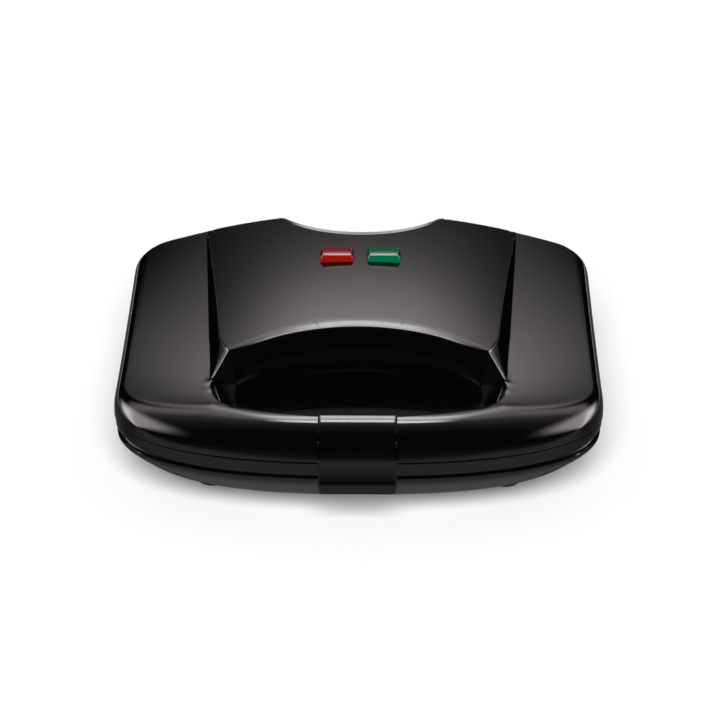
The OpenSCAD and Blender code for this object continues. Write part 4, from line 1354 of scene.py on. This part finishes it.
class PocketRule:
    """Shapes a flat slab into a cooking plate: two square pockets, each cut by a diagonal ridge.

    Its inputs are in metres, apart from the rounding.
    """

    def __init__(self) -> None:
        """Builds the tree."""
        floats = {"Width": 0.212, "Depth": 0.11, "Thickness": 0.003, "Pocket Height": 0.011,
                  "Pocket Middle": 0.052, "Pocket Half Width": 0.0478, "Pocket Half Depth": 0.048,
                  "Ridge Offset": 0.0105, "Side Draft": 0.0089, "Ridge Draft": 0.0042, "Rounding": 0.4}
        self.group = GeometryGroup("pocket_rule", {**{k: ("Float", v) for k, v in floats.items()},
                                                   "Columns": ("Int", 177), "Rows": ("Int", 93)})
        n, g = self.group.n, self.group.given
        size = n.add("ShaderNodeCombineXYZ", {"X": g["Width"], "Y": g["Depth"], "Z": MM})
        slab = n.add("GeometryNodeMeshCube", {
            "Size": size.outputs[0], "Vertices X": g["Columns"], "Vertices Y": g["Rows"]})
        place = n.add("ShaderNodeSeparateXYZ", {0: n.add("GeometryNodeInputPosition").outputs[0]}).outputs
        side = n.math("SIGN", place["X"])
        u = n.minus(place["X"], n.times(side, g["Pocket Middle"]))
        depth = n.math("MAXIMUM", self.half(u, place["Y"], 1.0), self.half(u, place["Y"], -1.0))
        straight = n.ramp(depth, 0, 1, smooth=False)
        fall = n.plus(n.times(n.ramp(depth, 0.0, 1.0), 0.6), n.times(straight, 0.4))
        top = n.times(n.times(fall, g["Pocket Height"]), -1.0)
        across = n.minus(g["Pocket Half Width"], n.math("ABSOLUTE", u))
        along = n.minus(g["Pocket Half Depth"], n.math("ABSOLUTE", place["Y"]))
        tub = n.ramp(n.math("MINIMUM", across, along), 0.0, 3 * MM)
        low = n.minus(n.times(n.times(tub, g["Pocket Height"]), -1.0), g["Thickness"])
        upper = n.math("GREATER_THAN", place["Z"], 0.0)
        height = n.mix(upper, low, top)
        spot = n.add("ShaderNodeCombineXYZ", {"X": place["X"], "Y": place["Y"], "Z": height})
        shaped = n.add("GeometryNodeSetPosition", {
            "Geometry": slab.outputs["Mesh"], "Position": spot.outputs[0]})
        smooth = n.add("GeometryNodeSetShadeSmooth", {"Geometry": shaped.outputs[0]})
        self.group.close(smooth.outputs[0])

    def half(self, u: Socket, v: Socket, way: float) -> Socket:
        """Returns how deep a place lies in one triangular half of a pocket: 0 at its edge, 1 on its floor.

        Args:
            u: Distance across from the pocket's middle.
            v: Distance along from it.
            way: 1 for the front half, -1 for the rear half.
        """
        n, g = self.group.n, self.group.given
        u, v = n.times(u, way), n.times(v, way)
        left = n.math("DIVIDE", n.plus(u, g["Pocket Half Width"]), g["Side Draft"])
        front = n.math("DIVIDE", n.plus(v, g["Pocket Half Depth"]), g["Side Draft"])
        across = n.plus(n.plus(u, v), g["Ridge Offset"])
        ridge = n.math("DIVIDE", n.times(across, -1 / math.sqrt(2)), g["Ridge Draft"])
        corner = n.math("SMOOTH_MIN", left, front, g["Rounding"])
        return n.math("SMOOTH_MIN", corner, ridge, g["Rounding"])


#: middle of the plates and the elements along Y
COOKING_Y = 20.0


@dataclass
class CookingPlate:
    """A non-stick plate with its screw ears and pillars; the upper one is the lower one turned over."""
    upper: bool
    middle_y: float = COOKING_Y
    lower_rim: float = 38.9
    upper_rim: float = 40.1
    depth: float = 110.0
    pillar_x: float = 52.125
    ear: Triple = (11.0, 8.0, 3.0)
    ear_drop: float = 2.65
    screw_hole: float = 1.56
    pillar_low: float = -20.4
    #: the pillar's upper end, inside the plate under the pocket
    pillar_high: float = -13.5
    pillar_radius: float = 3.0

    def build(self, rule: PocketRule, material: Material) -> Piece:
        """Builds the cast plate with its pockets' shape and finish."""
        plate = seed_object("plate", [(0, 0, 0)])
        rule.group.apply(plate, {"Pocket Middle": self.pillar_x * MM, "Material": material})
        w, d, t = self.ear
        parts = [resmooth(plate, 50.0)]
        for x in (-self.pillar_x, self.pillar_x):
            for y in (-self.depth / 2 - d / 2, self.depth / 2 + d / 2):
                low = (x - w / 2, y - d / 2 - 1, -self.ear_drop - t)
                ear = block("ear", low, (x + w / 2, y + d / 2 + 1, -self.ear_drop))
                drill(ear, x, y, -9, 0, self.screw_hole, 24)
                parts.append(rounded(ear, 0.4, 2))
            ends = (x, 0, self.pillar_low), (x, 0, self.pillar_high)
            parts.append(rod("pillar", *ends, self.pillar_radius, 32))
        whole = join("upper_plate_cast" if self.upper else "lower_plate_cast", parts)
        flip = Matrix.Diagonal((1, 1, -1 if self.upper else 1, 1))
        rim = self.upper_rim if self.upper else self.lower_rim
        whole.data.transform(Matrix.Translation((0, self.middle_y * MM, rim * MM)) @ flip)
        if self.upper:
            whole.data.flip_normals()
        return whole


@dataclass(frozen=True)
class Element:
    """A tubular heating element: a loop with round corners, open at the rear."""
    upper: bool
    half_width: float = 64.025
    half_depth: float = 29.975
    corner: float = 16.19
    diameter: float = 6.5
    middle_y: float = COOKING_Y
    upper_z: float = 57.35
    lower_z: float = 21.65

    def build(self, tube: Tube, material: Material) -> Piece:
        """Builds the element with its two terminal pins."""
        z = self.upper_z if self.upper else self.lower_z
        x, y, r = self.half_width - self.corner, self.half_depth - self.corner, self.corner
        turn = np.linspace(0, math.pi / 2, 17)
        rear, front = math.pi / 2 - turn, -turn
        half = [(2 * self.diameter, y + r), *zip(x + r * np.cos(rear), y + r * np.sin(rear)),
                *zip(x + r * np.cos(front), -y + r * np.sin(front))]
        right = np.array(half)
        plan = np.vstack([right, right[::-1] * (-1, 1)])
        path = np.column_stack([plan[:, 0], plan[:, 1] + self.middle_y, np.full(len(plan), z)])
        name = "upper_tube" if self.upper else "lower_tube"
        parts = [tube.sweep(name, path, self.diameter / 2, material)]
        for side in (-1, 1):
            pin_y = self.middle_y + y + r
            start, end = side * self.diameter, side * (2 * self.diameter + 1)
            parts.append(rod("pin", (start, pin_y, z), (end, pin_y, z), self.diameter / 4, 20))
        return join(name, parts)


def lathe(name: str, profile: Points, sides: int = 32, sharp_deg: float = 34.0) -> Piece:
    """Makes a round piece about Z from (radius, z) points that start and end off the axis."""
    turn = np.linspace(0, math.tau, sides, endpoint=False)
    rings = [np.column_stack([r * np.cos(turn), r * np.sin(turn), np.full(sides, z)]) for r, z in profile]
    return loft(name, rings, sharp_deg)


@dataclass(frozen=True)
class Screw:
    """A pan-head screw with a cross recess: its head starts at z = 0 and its thread runs upwards."""
    length: float
    radius: float = 1.5
    head_radius: float = 2.85
    head: float = 2.0
    pitch: float = 0.7
    #: half the width of the cross recess's arms, and its depth
    cross_half: float = 0.35
    cross_depth: float = 1.1

    def build(self) -> Piece:
        """Builds the screw."""
        r, h, root = self.head_radius, self.head, self.radius * 0.86
        profile = [(r * 0.5, 0.0), (r * 0.8, 0.18), (r * 0.95, 0.6), (r, 1.1), (r, h), (root, h)]
        turns = int((self.length - h - 1.0) / self.pitch)
        for k in range(turns):
            z = h + 0.3 + k * self.pitch
            profile += [(root, z), (self.radius, z + self.pitch * 0.45), (root, z + self.pitch * 0.9)]
        profile += [(self.radius * 0.8, self.length - 0.4), (self.radius * 0.5, self.length)]
        screw = lathe("screw", profile, 24)
        long, short, depth = r * 0.6, self.cross_half, self.cross_depth
        for x, y in ((long, short), (short, long)):
            combine(screw, block("cross", (-x, -y, -1), (x, y, depth)))
        return resmooth(screw, 34.0)


@dataclass
class Hardware:
    """Screws, feet and pins, all placed as copies."""
    base: BaseHousing = field(default_factory=BaseHousing)
    plate: CookingPlate = field(default_factory=lambda: CookingPlate(False))
    copies: Copies = field(default_factory=Copies)
    up: Triple = (0.0, 0.0, 0.0)
    down: Triple = (180.0, 0.0, 0.0)
    across: Triple = (0.0, 90.0, 0.0)
    #: heights of the heads of the base's, the clamp's and the lid's screws
    post_screw_z: float = 26.25
    clamp_screw_z: float = 29.5
    lid_screw_z: float = 39.75
    #: distance from a plate's rim to the heads of its screws
    ear_screw_reach: float = 7.65
    pillar_screw_reach: float = 23.4

    @staticmethod
    def mirrored(points: Points, z: float, aim: Triple) -> list[tuple[Triple, Triple]]:
        """Returns a spot at each point and at its mirror image."""
        return [((side * x, y, z), aim) for side in (-1, 1) for x, y in points]

    def base_screws(self, steel: Material) -> Piece:
        """Builds the screws from below, and the two of the cord clamp."""
        posts = self.mirrored(self.base.screw_posts, self.post_screw_z, self.up)
        clamp = self.mirrored([self.base.clamp_post], self.clamp_screw_z, self.down)
        sets = [self.copies.place("posts", Screw(11.5).build(), steel, posts),
                self.copies.place("clamp", Screw(13.5).build(), steel, clamp, seed=11)]
        return join("base_screw_set", sets)

    def lid_screws(self, steel: Material) -> Piece:
        """Builds the screws that hold the lid's frame."""
        spots = self.mirrored(self.base.screw_posts, self.lid_screw_z, self.up)
        return self.copies.place("lid_screw_set", Screw(12.0).build(), steel, spots, seed=3)

    def plate_screws(self, steel: Material, upper: bool) -> Piece:
        """Builds the six screws of the upper or the lower plate."""
        p = self.plate
        aim, way, rim = (self.down, 1, p.upper_rim) if upper else (self.up, -1, p.lower_rim)
        ear_y = p.depth / 2 + p.ear[1] / 2
        spots = [(p.pillar_x, p.middle_y - ear_y), (p.pillar_x, p.middle_y + ear_y)]
        ears = self.mirrored(spots, rim + way * self.ear_screw_reach, aim)
        pillars = self.mirrored([(p.pillar_x, p.middle_y)], rim + way * self.pillar_screw_reach, aim)
        name = "upper_screw_set" if upper else "lower_screw_set"
        return join(name, [self.copies.place("ears", Screw(6.5).build(), steel, ears, seed=5),
                           self.copies.place("pillars", Screw(9.0).build(), steel, pillars, seed=9)])

    def feet(self, rubber: Material) -> Piece:
        """Builds the four rubber feet."""
        profile = [(4.5, 0.5), (5.0, 0.0), (6.6, 0.0), (7.2, 0.35), (7.8, 1.4), (8.0, 2.0), (8.0, 7.5),
                   (7.7, 8.0), (3.0, 8.0), (3.0, 10.1), (2.7, 10.4)]
        spots = self.mirrored(self.base.feet, 0.0, self.up)
        return self.copies.place("foot_set", lathe("foot", profile, 48), rubber, spots, 0.0)

    def hinge_pins(self, steel: Material) -> Piece:
        """Builds the two hinge pins."""
        b = self.base
        profile = [(1.7, -11.3), (2.0, -11.0), (2.0, 11.0), (1.7, 11.3)]
        return self.copies.place("hinge_pin_set", lathe("pin", profile), steel,
                                 self.mirrored([(b.plan.hinge_x, b.hinge_y)], b.hinge_z, self.across), 0.0)

    def latch_pin(self, steel: Material, latch: Latch) -> Piece:
        """Builds the latch's pin."""
        profile = [(1.2, -23.3), (1.5, -23.0), (1.5, 23.0), (1.2, 23.3)]
        spot = ((0, latch.pivot_y, latch.pivot_z), self.across)
        return self.copies.place("latch_pin_bar", lathe("pin", profile), steel, [spot], 0.0)


# ------------------------------------------------------------------ finishes

class Body(Enum):
    """Bodies that move against each other."""
    BASE = "base"
    LID = "lid"
    LATCH = "latch"


def surface_group() -> Tree:
    """Builds the shared shader group that varies a finish: cloudy shade, uneven gloss and a fine grain."""
    tree = bpy.data.node_groups.new("surface", "ShaderNodeTree")
    face = tree.interface
    for label, kind in (("Base", "Color"), ("Gloss", "Float"), ("Normal", "Vector")):
        face.new_socket(label, in_out="OUTPUT", socket_type="NodeSocket" + kind)
    for label, kind, value in (
            ("Colour", "Color", (0.1, 0.1, 0.1, 1)), ("Shade Spread", "Float", 0.0),
            ("Roughness", "Float", 0.3), ("Roughness Spread", "Float", 0.0), ("Scale", "Float", 400.0),
            ("Stretch", "Vector", (1, 1, 1)), ("Bump", "Float", 0.0)):
        face.new_socket(label, in_out="INPUT", socket_type="NodeSocket" + kind).default_value = value
    n = Nodes(tree)
    given = n.add("NodeGroupInput").outputs
    own = n.add("ShaderNodeTexCoord").outputs["Object"]
    place = n.add("ShaderNodeVectorMath", {0: own, 1: given["Stretch"]}, operation="MULTIPLY").outputs[0]
    coarse = n.times(given["Scale"], 0.06)
    fine = {"Vector": place, "Scale": given["Scale"], "Detail": 3.0}
    grain = n.add("ShaderNodeTexNoise", fine).outputs["Fac"]
    cloud = n.add("ShaderNodeTexNoise", {"Vector": place, "Scale": coarse}).outputs["Fac"]
    tone = n.plus(n.times(n.times(n.minus(grain, 0.5), 2.0), given["Shade Spread"]), 1.0)
    colour = n.add("ShaderNodeVectorMath", {0: given["Colour"], "Scale": tone}, operation="SCALE").outputs[0]
    gloss = n.plus(given["Roughness"], n.times(n.minus(cloud, 0.5), given["Roughness Spread"]))
    bump = n.add("ShaderNodeBump", {"Strength": given["Bump"], "Distance": 0.0002, "Height": grain})
    n.add("NodeGroupOutput", {"Base": colour, "Gloss": gloss, "Normal": bump.outputs[0]})
    return tree


@dataclass(frozen=True)
class Finish:
    """A finish: colour, gloss, and how much the shared surface group varies them."""
    name: str
    colour: Triple
    roughness: float = 0.2
    metallic: float = 0.0
    coat: float = 0.0
    shade_spread: float = 0.0
    roughness_spread: float = 0.0
    scale: float = 400.0
    stretch: Triple = (1.0, 1.0, 1.0)
    bump: float = 0.0
    transmission: float = 0.0

    def material(self, surface: Tree | None = None) -> Material:
        """Builds the material, with the shared surface group where one is given."""
        mat = bpy.data.materials.new(self.name)
        mat.use_nodes = True
        shader = mat.node_tree.nodes["Principled BSDF"]
        shader.inputs["Base Color"].default_value = (*self.colour, 1)
        shader.inputs["Roughness"].default_value = self.roughness
        shader.inputs["Metallic"].default_value = self.metallic
        shader.inputs["Coat Weight"].default_value = self.coat
        shader.inputs["Transmission Weight"].default_value = self.transmission
        if surface is not None:
            n = Nodes(mat.node_tree)
            group = n.add("ShaderNodeGroup", node_tree=surface)
            for label, value in (
                    ("Colour", (*self.colour, 1)), ("Shade Spread", self.shade_spread),
                    ("Roughness", self.roughness), ("Roughness Spread", self.roughness_spread),
                    ("Scale", self.scale), ("Stretch", self.stretch), ("Bump", self.bump)):
                group.inputs[label].default_value = value
            for output, target in (("Base", "Base Color"), ("Gloss", "Roughness"), ("Normal", "Normal")):
                mat.node_tree.links.new(group.outputs[output], shader.inputs[target])
        return mat


class Look(Enum):
    """The toaster's finishes."""
    GLOSS_BLACK = Finish("gloss_black", (0.001, 0.0008, 0.0009), 0.1, roughness_spread=0.012, scale=300.0)
    SATIN_BLACK = Finish("satin_black", (0.012, 0.012, 0.013), 0.42, shade_spread=0.2, roughness_spread=0.08,
                         scale=900.0, bump=0.15)
    RUBBER = Finish("rubber", (0.02, 0.02, 0.021), 0.75, shade_spread=0.3, scale=1200.0, bump=0.3)
    NON_STICK = Finish("non_stick", (0.035, 0.035, 0.037), 0.38, coat=0.2, shade_spread=0.45,
                       roughness_spread=0.1, scale=1500.0, bump=0.25)
    STEEL = Finish("steel", (0.6, 0.61, 0.63), 0.28, 1.0, shade_spread=0.12, roughness_spread=0.15,
                   scale=900.0, stretch=(0.1, 1.0, 1.0), bump=0.05)
    BRIGHT_STEEL = Finish("bright_steel", (0.72, 0.72, 0.74), 0.16, 1.0, shade_spread=0.06,
                          roughness_spread=0.1, scale=700.0, stretch=(0.08, 1.0, 1.0), bump=0.03)
    CERAMIC = Finish("ceramic", (0.78, 0.75, 0.68), 0.45, shade_spread=0.06, roughness_spread=0.1,
                     scale=700.0, bump=0.05)
    LAMP_GLASS = Finish("lamp_glass", (0.9, 0.72, 0.55), 0.05, coat=0.5, transmission=0.6)
    RED = Finish("lens_red", (0.16, 0.004, 0.002), 0.06, coat=0.6, roughness_spread=0.02)
    GREEN = Finish("lens_green", (0.0, 0.085, 0.035), 0.06, coat=0.6, roughness_spread=0.02)


class Materials:
    """Makes each finish's material once."""

    def __init__(self) -> None:
        """Makes the shared surface group."""
        self.surface = surface_group()
        self.made: dict[Look, Material] = {}

    def __call__(self, look: Look) -> Material:
        """Returns the material of a finish."""
        if look not in self.made:
            self.made[look] = look.value.material(self.surface)
        return self.made[look]


# ------------------------------------------------------------------ studio

@dataclass(frozen=True)
class Gloss:
    """Brightness that glossy surfaces reflect, by the direction they look in.

    Stops are (degrees over the top from the rear horizon, brightness), and halves are where a part fades,
    in degrees aside.
    """
    tint: Triple = (1.03, 0.94, 0.95)
    card: Pairs = ((0, 0.06), (18, 0.07), (22, 0.13), (25, 0.24), (27.5, 0.52), (30, 1.3), (32, 2.0),
                   (36, 2.4), (42, 1.5), (48, 0.0))
    card_half: tuple[float, float] = (4.0, 20.5)
    over: Pairs = ((0, 0.0), (39, 0.0), (46, 1.2), (52, 1.4), (59, 1.1), (68, 0.4), (90, 0.12), (120, 0.0))
    over_half: tuple[float, float] = (40.0, 60.0)
    side: Pairs = ((0, 0.5), (9, 1.6), (20, 7.0), (38, 8.0), (60, 4.5), (120, 4.5), (140, 1.5), (155, 0.0))
    side_half: tuple[float, float] = (42.0, 62.0)
    ambient: float = 0.004


@dataclass(frozen=True)
class Softbox:
    """An overhead softbox that shows in gloss, as a rectangle in millimetres."""
    x_half: float
    y_low: float
    y_high: float
    radiance: float
    soft: tuple[float, float] = (0.3, 0.15)
    z: float = 450.0

    def build(self) -> Piece:
        """Places the lamp, facing down."""
        data = bpy.data.lights.new("softbox", "AREA")
        data.shape = "RECTANGLE"
        data.size, data.size_y = 2 * self.x_half * MM, (self.y_high - self.y_low) * MM
        data.energy = math.pi * data.size * data.size_y
        data.use_nodes = True
        n = Nodes(data.node_tree)
        place = n.add("ShaderNodeSeparateXYZ", {0: n.add("ShaderNodeNewGeometry").outputs["Parametric"]})
        off = [n.math("ABSOLUTE", n.minus(place.outputs[axis], 0.5)) for axis in (0, 1)]
        fade = [n.ramp(o, 0.5 - soft, 0.5, self.radiance, 0.0) for o, soft in zip(off, self.soft)]
        strength = n.math("DIVIDE", n.times(*fade), self.radiance)
        data.node_tree.links.new(strength, data.node_tree.nodes["Emission"].inputs["Strength"])
        lamp = linked("softbox", data)
        lamp.location = (0, (self.y_low + self.y_high) / 2 * MM, self.z * MM)
        lamp.visible_camera = lamp.visible_diffuse = False
        return lamp


@dataclass
class Studio:
    """Floor, soft light and camera."""
    target: Triple = (0.0, -5.0, 42.0)
    elevation_deg: float = 24.0
    yaw_deg: float = -0.6
    distance: float = 1500.0
    lens: float = 145.875
    sensor: float = 36.0
    shift_x: float = 0.0007
    shift_y: float = 0.01667
    #: half the floor's side, in metres
    floor_half: float = 8.0
    key_elevation_deg: float = 33.0
    key_spread_deg: float = 32.0
    key_strength: float = 5.5
    fill: float = 0.2
    floor_shade: float = 0.9
    #: painted light and shade that glossy surfaces reflect: the floor's colour as glossy rays see it, darker
    #: close to the object, lighter just in front of it and white far behind, by distance behind the middle in
    #: metres
    painted_floor_reflection: Pairs = ((-0.5, 0.03), (-0.26, 0.08), (-0.2, 0.37), (-0.13, 0.39), (-0.05, 0.1), (0.6, 0.1),
                          (1.0, 1.0))
    boxes: tuple[Softbox, ...] = (Softbox(105, 60, 185, 11.0), Softbox(130, 185, 480, 4.5))
    gloss: Gloss = field(default_factory=Gloss)

    def floor(self) -> Piece:
        """Builds the pale floor, with painted shade in gloss: glossy rays see it darker close to the object.
        """
        h = self.floor_half
        mesh = bpy.data.meshes.new("floor")
        mesh.from_pydata([(-h, -h, 0), (h, -h, 0), (h, h, 0), (-h, h, 0)], [], [(0, 1, 2, 3)])
        obj = linked("floor", mesh)
        mat = Finish("floor_white", (self.floor_shade,) * 3, 0.9).material()
        n = Nodes(mat.node_tree)
        place = n.add("ShaderNodeSeparateXYZ", {0: n.add("ShaderNodeTexCoord").outputs["Object"]})
        first, last = self.painted_floor_reflection[0][0], self.painted_floor_reflection[-1][0]
        behind = n.ramp(place.outputs["Y"], first, last, 0.0, 180.0, smooth=False)
        stops = [((y - first) / (last - first) * 180, value) for y, value in self.painted_floor_reflection]
        # painted light and shade: the floor's tone in glossy rays is set by its position, not by any lamp
        reflected_floor_shade = n.times(self.curve(n, behind, stops), self.floor_shade)
        path = n.add("ShaderNodeLightPath").outputs
        tone = n.mix(path["Is Glossy Ray"], self.floor_shade, reflected_floor_shade)
        colour = n.triple("ShaderNodeCombineColor", (tone, tone, tone))
        shader = mat.node_tree.nodes["Principled BSDF"]
        mat.node_tree.links.new(colour, shader.inputs["Base Color"])
        shader.inputs["Specular IOR Level"].default_value = 0.0
        mesh.materials.append(mat)
        return obj

    @staticmethod
    def curve(n: Nodes, turn: Socket, stops: Sequence[tuple[float, float]]) -> Socket:
        """Returns a brightness read from stops of (degrees, brightness).

        Args:
            n: The tree that the nodes go in.
            turn: The direction in degrees, 0 to 180.
            stops: The stops, in order.
        """
        peak = max(value for _, value in stops)
        ramp = n.add("ShaderNodeValToRGB", {"Fac": n.math("DIVIDE", turn, 180.0)})
        elements = ramp.color_ramp.elements
        while len(elements) < len(stops):
            elements.new(1.0)
        for element, (degrees, value) in zip(elements, stops):
            element.position = degrees / 180
            element.color = (value / peak,) * 3 + (1,)
        return n.times(ramp.outputs["Color"], peak)

    def surround(self) -> None:
        """Builds the world: white to the camera, an even fill, and the softboxes that gloss reflects."""
        world = bpy.data.worlds.new("studio")
        bpy.context.scene.world = world
        world.use_nodes = True
        world.node_tree.nodes.clear()
        n, g = Nodes(world.node_tree), self.gloss
        way = n.add("ShaderNodeSeparateXYZ", {0: n.add("ShaderNodeTexCoord").outputs["Generated"]})
        turn = n.math("DEGREES", n.math("ARCTAN2", way.outputs["Z"], way.outputs["Y"]))
        aside = n.math("DEGREES", n.math("ARCSINE", n.math("ABSOLUTE", way.outputs["X"])))
        card = n.times(self.curve(n, turn, g.card), n.ramp(aside, *g.card_half, 1.0, 0.0))
        over = n.times(self.curve(n, turn, g.over), n.ramp(aside, *g.over_half, 1.0, 0.0))
        side = n.times(self.curve(n, turn, g.side), n.ramp(aside, *g.side_half, 0.0, 1.0))
        light = n.plus(n.plus(n.plus(card, over), side), g.ambient)
        path = n.add("ShaderNodeLightPath").outputs
        other = n.math("MAXIMUM", path["Is Glossy Ray"], path["Is Transmission Ray"])
        unseen = n.mix(other, self.fill, light)
        seen = n.mix(path["Is Camera Ray"], unseen, 1.0)
        warm = [n.mix(path["Is Glossy Ray"], 1.0, tint) for tint in g.tint]
        colour = n.triple("ShaderNodeCombineColor", warm)
        background = n.add("ShaderNodeBackground", {"Color": colour, "Strength": seen})
        n.add("ShaderNodeOutputWorld", {"Surface": background.outputs[0]})

    def key(self) -> Piece:
        """Places the soft key light above the camera."""
        data = bpy.data.lights.new("key", "SUN")
        data.energy, data.angle = self.key_strength, math.radians(self.key_spread_deg)
        lamp = linked("key", data)
        lamp.rotation_euler = (math.radians(90 - self.key_elevation_deg), 0, 0)
        lamp.visible_glossy = lamp.visible_transmission = False
        return lamp

    def camera(self) -> Piece:
        """Places the camera."""
        el, yaw = math.radians(self.elevation_deg), math.radians(self.yaw_deg)
        ahead = Vector((math.sin(yaw) * math.cos(el), math.cos(yaw) * math.cos(el), -math.sin(el)))
        data = bpy.data.cameras.new("camera")
        data.lens, data.sensor_width = self.lens, self.sensor
        data.shift_x, data.shift_y = self.shift_x, self.shift_y
        cam = linked("camera", data)
        cam.location = Vector(self.target) * MM - ahead * self.distance * MM
        right = Vector((math.cos(yaw), -math.sin(yaw), 0))
        up = right.cross(ahead)
        turned = Matrix((right, up, -ahead)).transposed().to_4x4()
        cam.matrix_world = Matrix.Translation(cam.location) @ turned
        bpy.context.scene.camera = cam
        return cam

    def build(self) -> None:
        """Builds the studio and sets the view."""
        self.floor()
        self.surround()
        self.key()
        for box in self.boxes:
            box.build()
        self.camera()
        bpy.context.scene.view_settings.view_transform = "Standard"


def dress(obj: Piece, body: Body, material: Material, *nodes: str) -> None:
    """Gives a finished piece its material, body and the nodes it stands for.

    Args:
        obj: The piece.
        body: The body that it moves with.
        material: Its finish.
        *nodes: Names of the nodes that it replaces.
    """
    obj.data.materials.clear()
    obj.data.materials.append(material)
    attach(obj, body.value)
    for name in nodes:
        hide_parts(name)
    LOG.info("%s: %d faces, for %s", obj.name, len(obj.data.polygons), ", ".join(nodes) or "detail only")


def coat(name: str, material: Material) -> None:
    """Gives a node's own object its material."""
    obj = bpy.data.objects.get(name)
    if obj is None:
        LOG.warning("no object for %s", name)
        return
    obj.data.materials.clear()
    obj.data.materials.append(material)
    LOG.info("%s: %s", name, material.name)


#: nodes that keep their own object, and their finishes
KEPT: dict[str, Look] = {
    "lid_frame": Look.SATIN_BLACK, "base_frame": Look.SATIN_BLACK, "cable_clamp": Look.SATIN_BLACK,
    "lamp_bracket": Look.SATIN_BLACK, "cord_gland": Look.RUBBER, "lower_reflector": Look.BRIGHT_STEEL,
    "upper_reflector": Look.BRIGHT_STEEL, "thermal_fuse": Look.CERAMIC, "terminal_block": Look.CERAMIC,
    "thermostat": Look.CERAMIC, "pilot_lamps": Look.LAMP_GLASS}


def main() -> None:
    """Builds the pieces in order."""
    logging.basicConfig(level=logging.INFO)
    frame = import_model()
    LOG.info("frame: %d nodes", len(frame["nodes"]))
    paint = Materials()
    for name, look in KEPT.items():
        coat(name, paint(look))
    lid, latch, hardware = LidCover(), Latch(), Hardware()
    black, satin, rubber = paint(Look.GLOSS_BLACK), paint(Look.SATIN_BLACK), paint(Look.RUBBER)
    steel, non_stick = paint(Look.STEEL), paint(Look.NON_STICK)
    dress(lid.build(), Body.LID, black, "lid_cover")
    dress(BaseHousing().build(), Body.BASE, black, "base_housing")
    dress(latch.build(), Body.LATCH, black, "latch")
    for side, name, look in ((-1, "red_lens", Look.RED), (1, "green_lens", Look.GREEN)):
        dress(Lens(side).build(lid.form), Body.LID, paint(look), name)
    rule, tube = PocketRule(), Tube()
    for upper, body, word in ((False, Body.BASE, "lower"), (True, Body.LID, "upper")):
        dress(CookingPlate(upper).build(rule, non_stick), body, non_stick, word + "_plate")
        dress(Element(upper).build(tube, steel), body, steel, word + "_element")
        dress(hardware.plate_screws(steel, upper), body, steel, word + "_plate_screws")
    dress(hardware.base_screws(steel), Body.BASE, steel, "base_screws")
    dress(hardware.feet(rubber), Body.BASE, rubber, "feet")
    dress(hardware.hinge_pins(steel), Body.BASE, steel, "hinge_pins")
    dress(hardware.lid_screws(steel), Body.LID, steel, "lid_screws")
    dress(hardware.latch_pin(satin, latch), Body.LID, satin, "latch_pin")
    Studio().build()


if __name__ == "__main__":
    main()
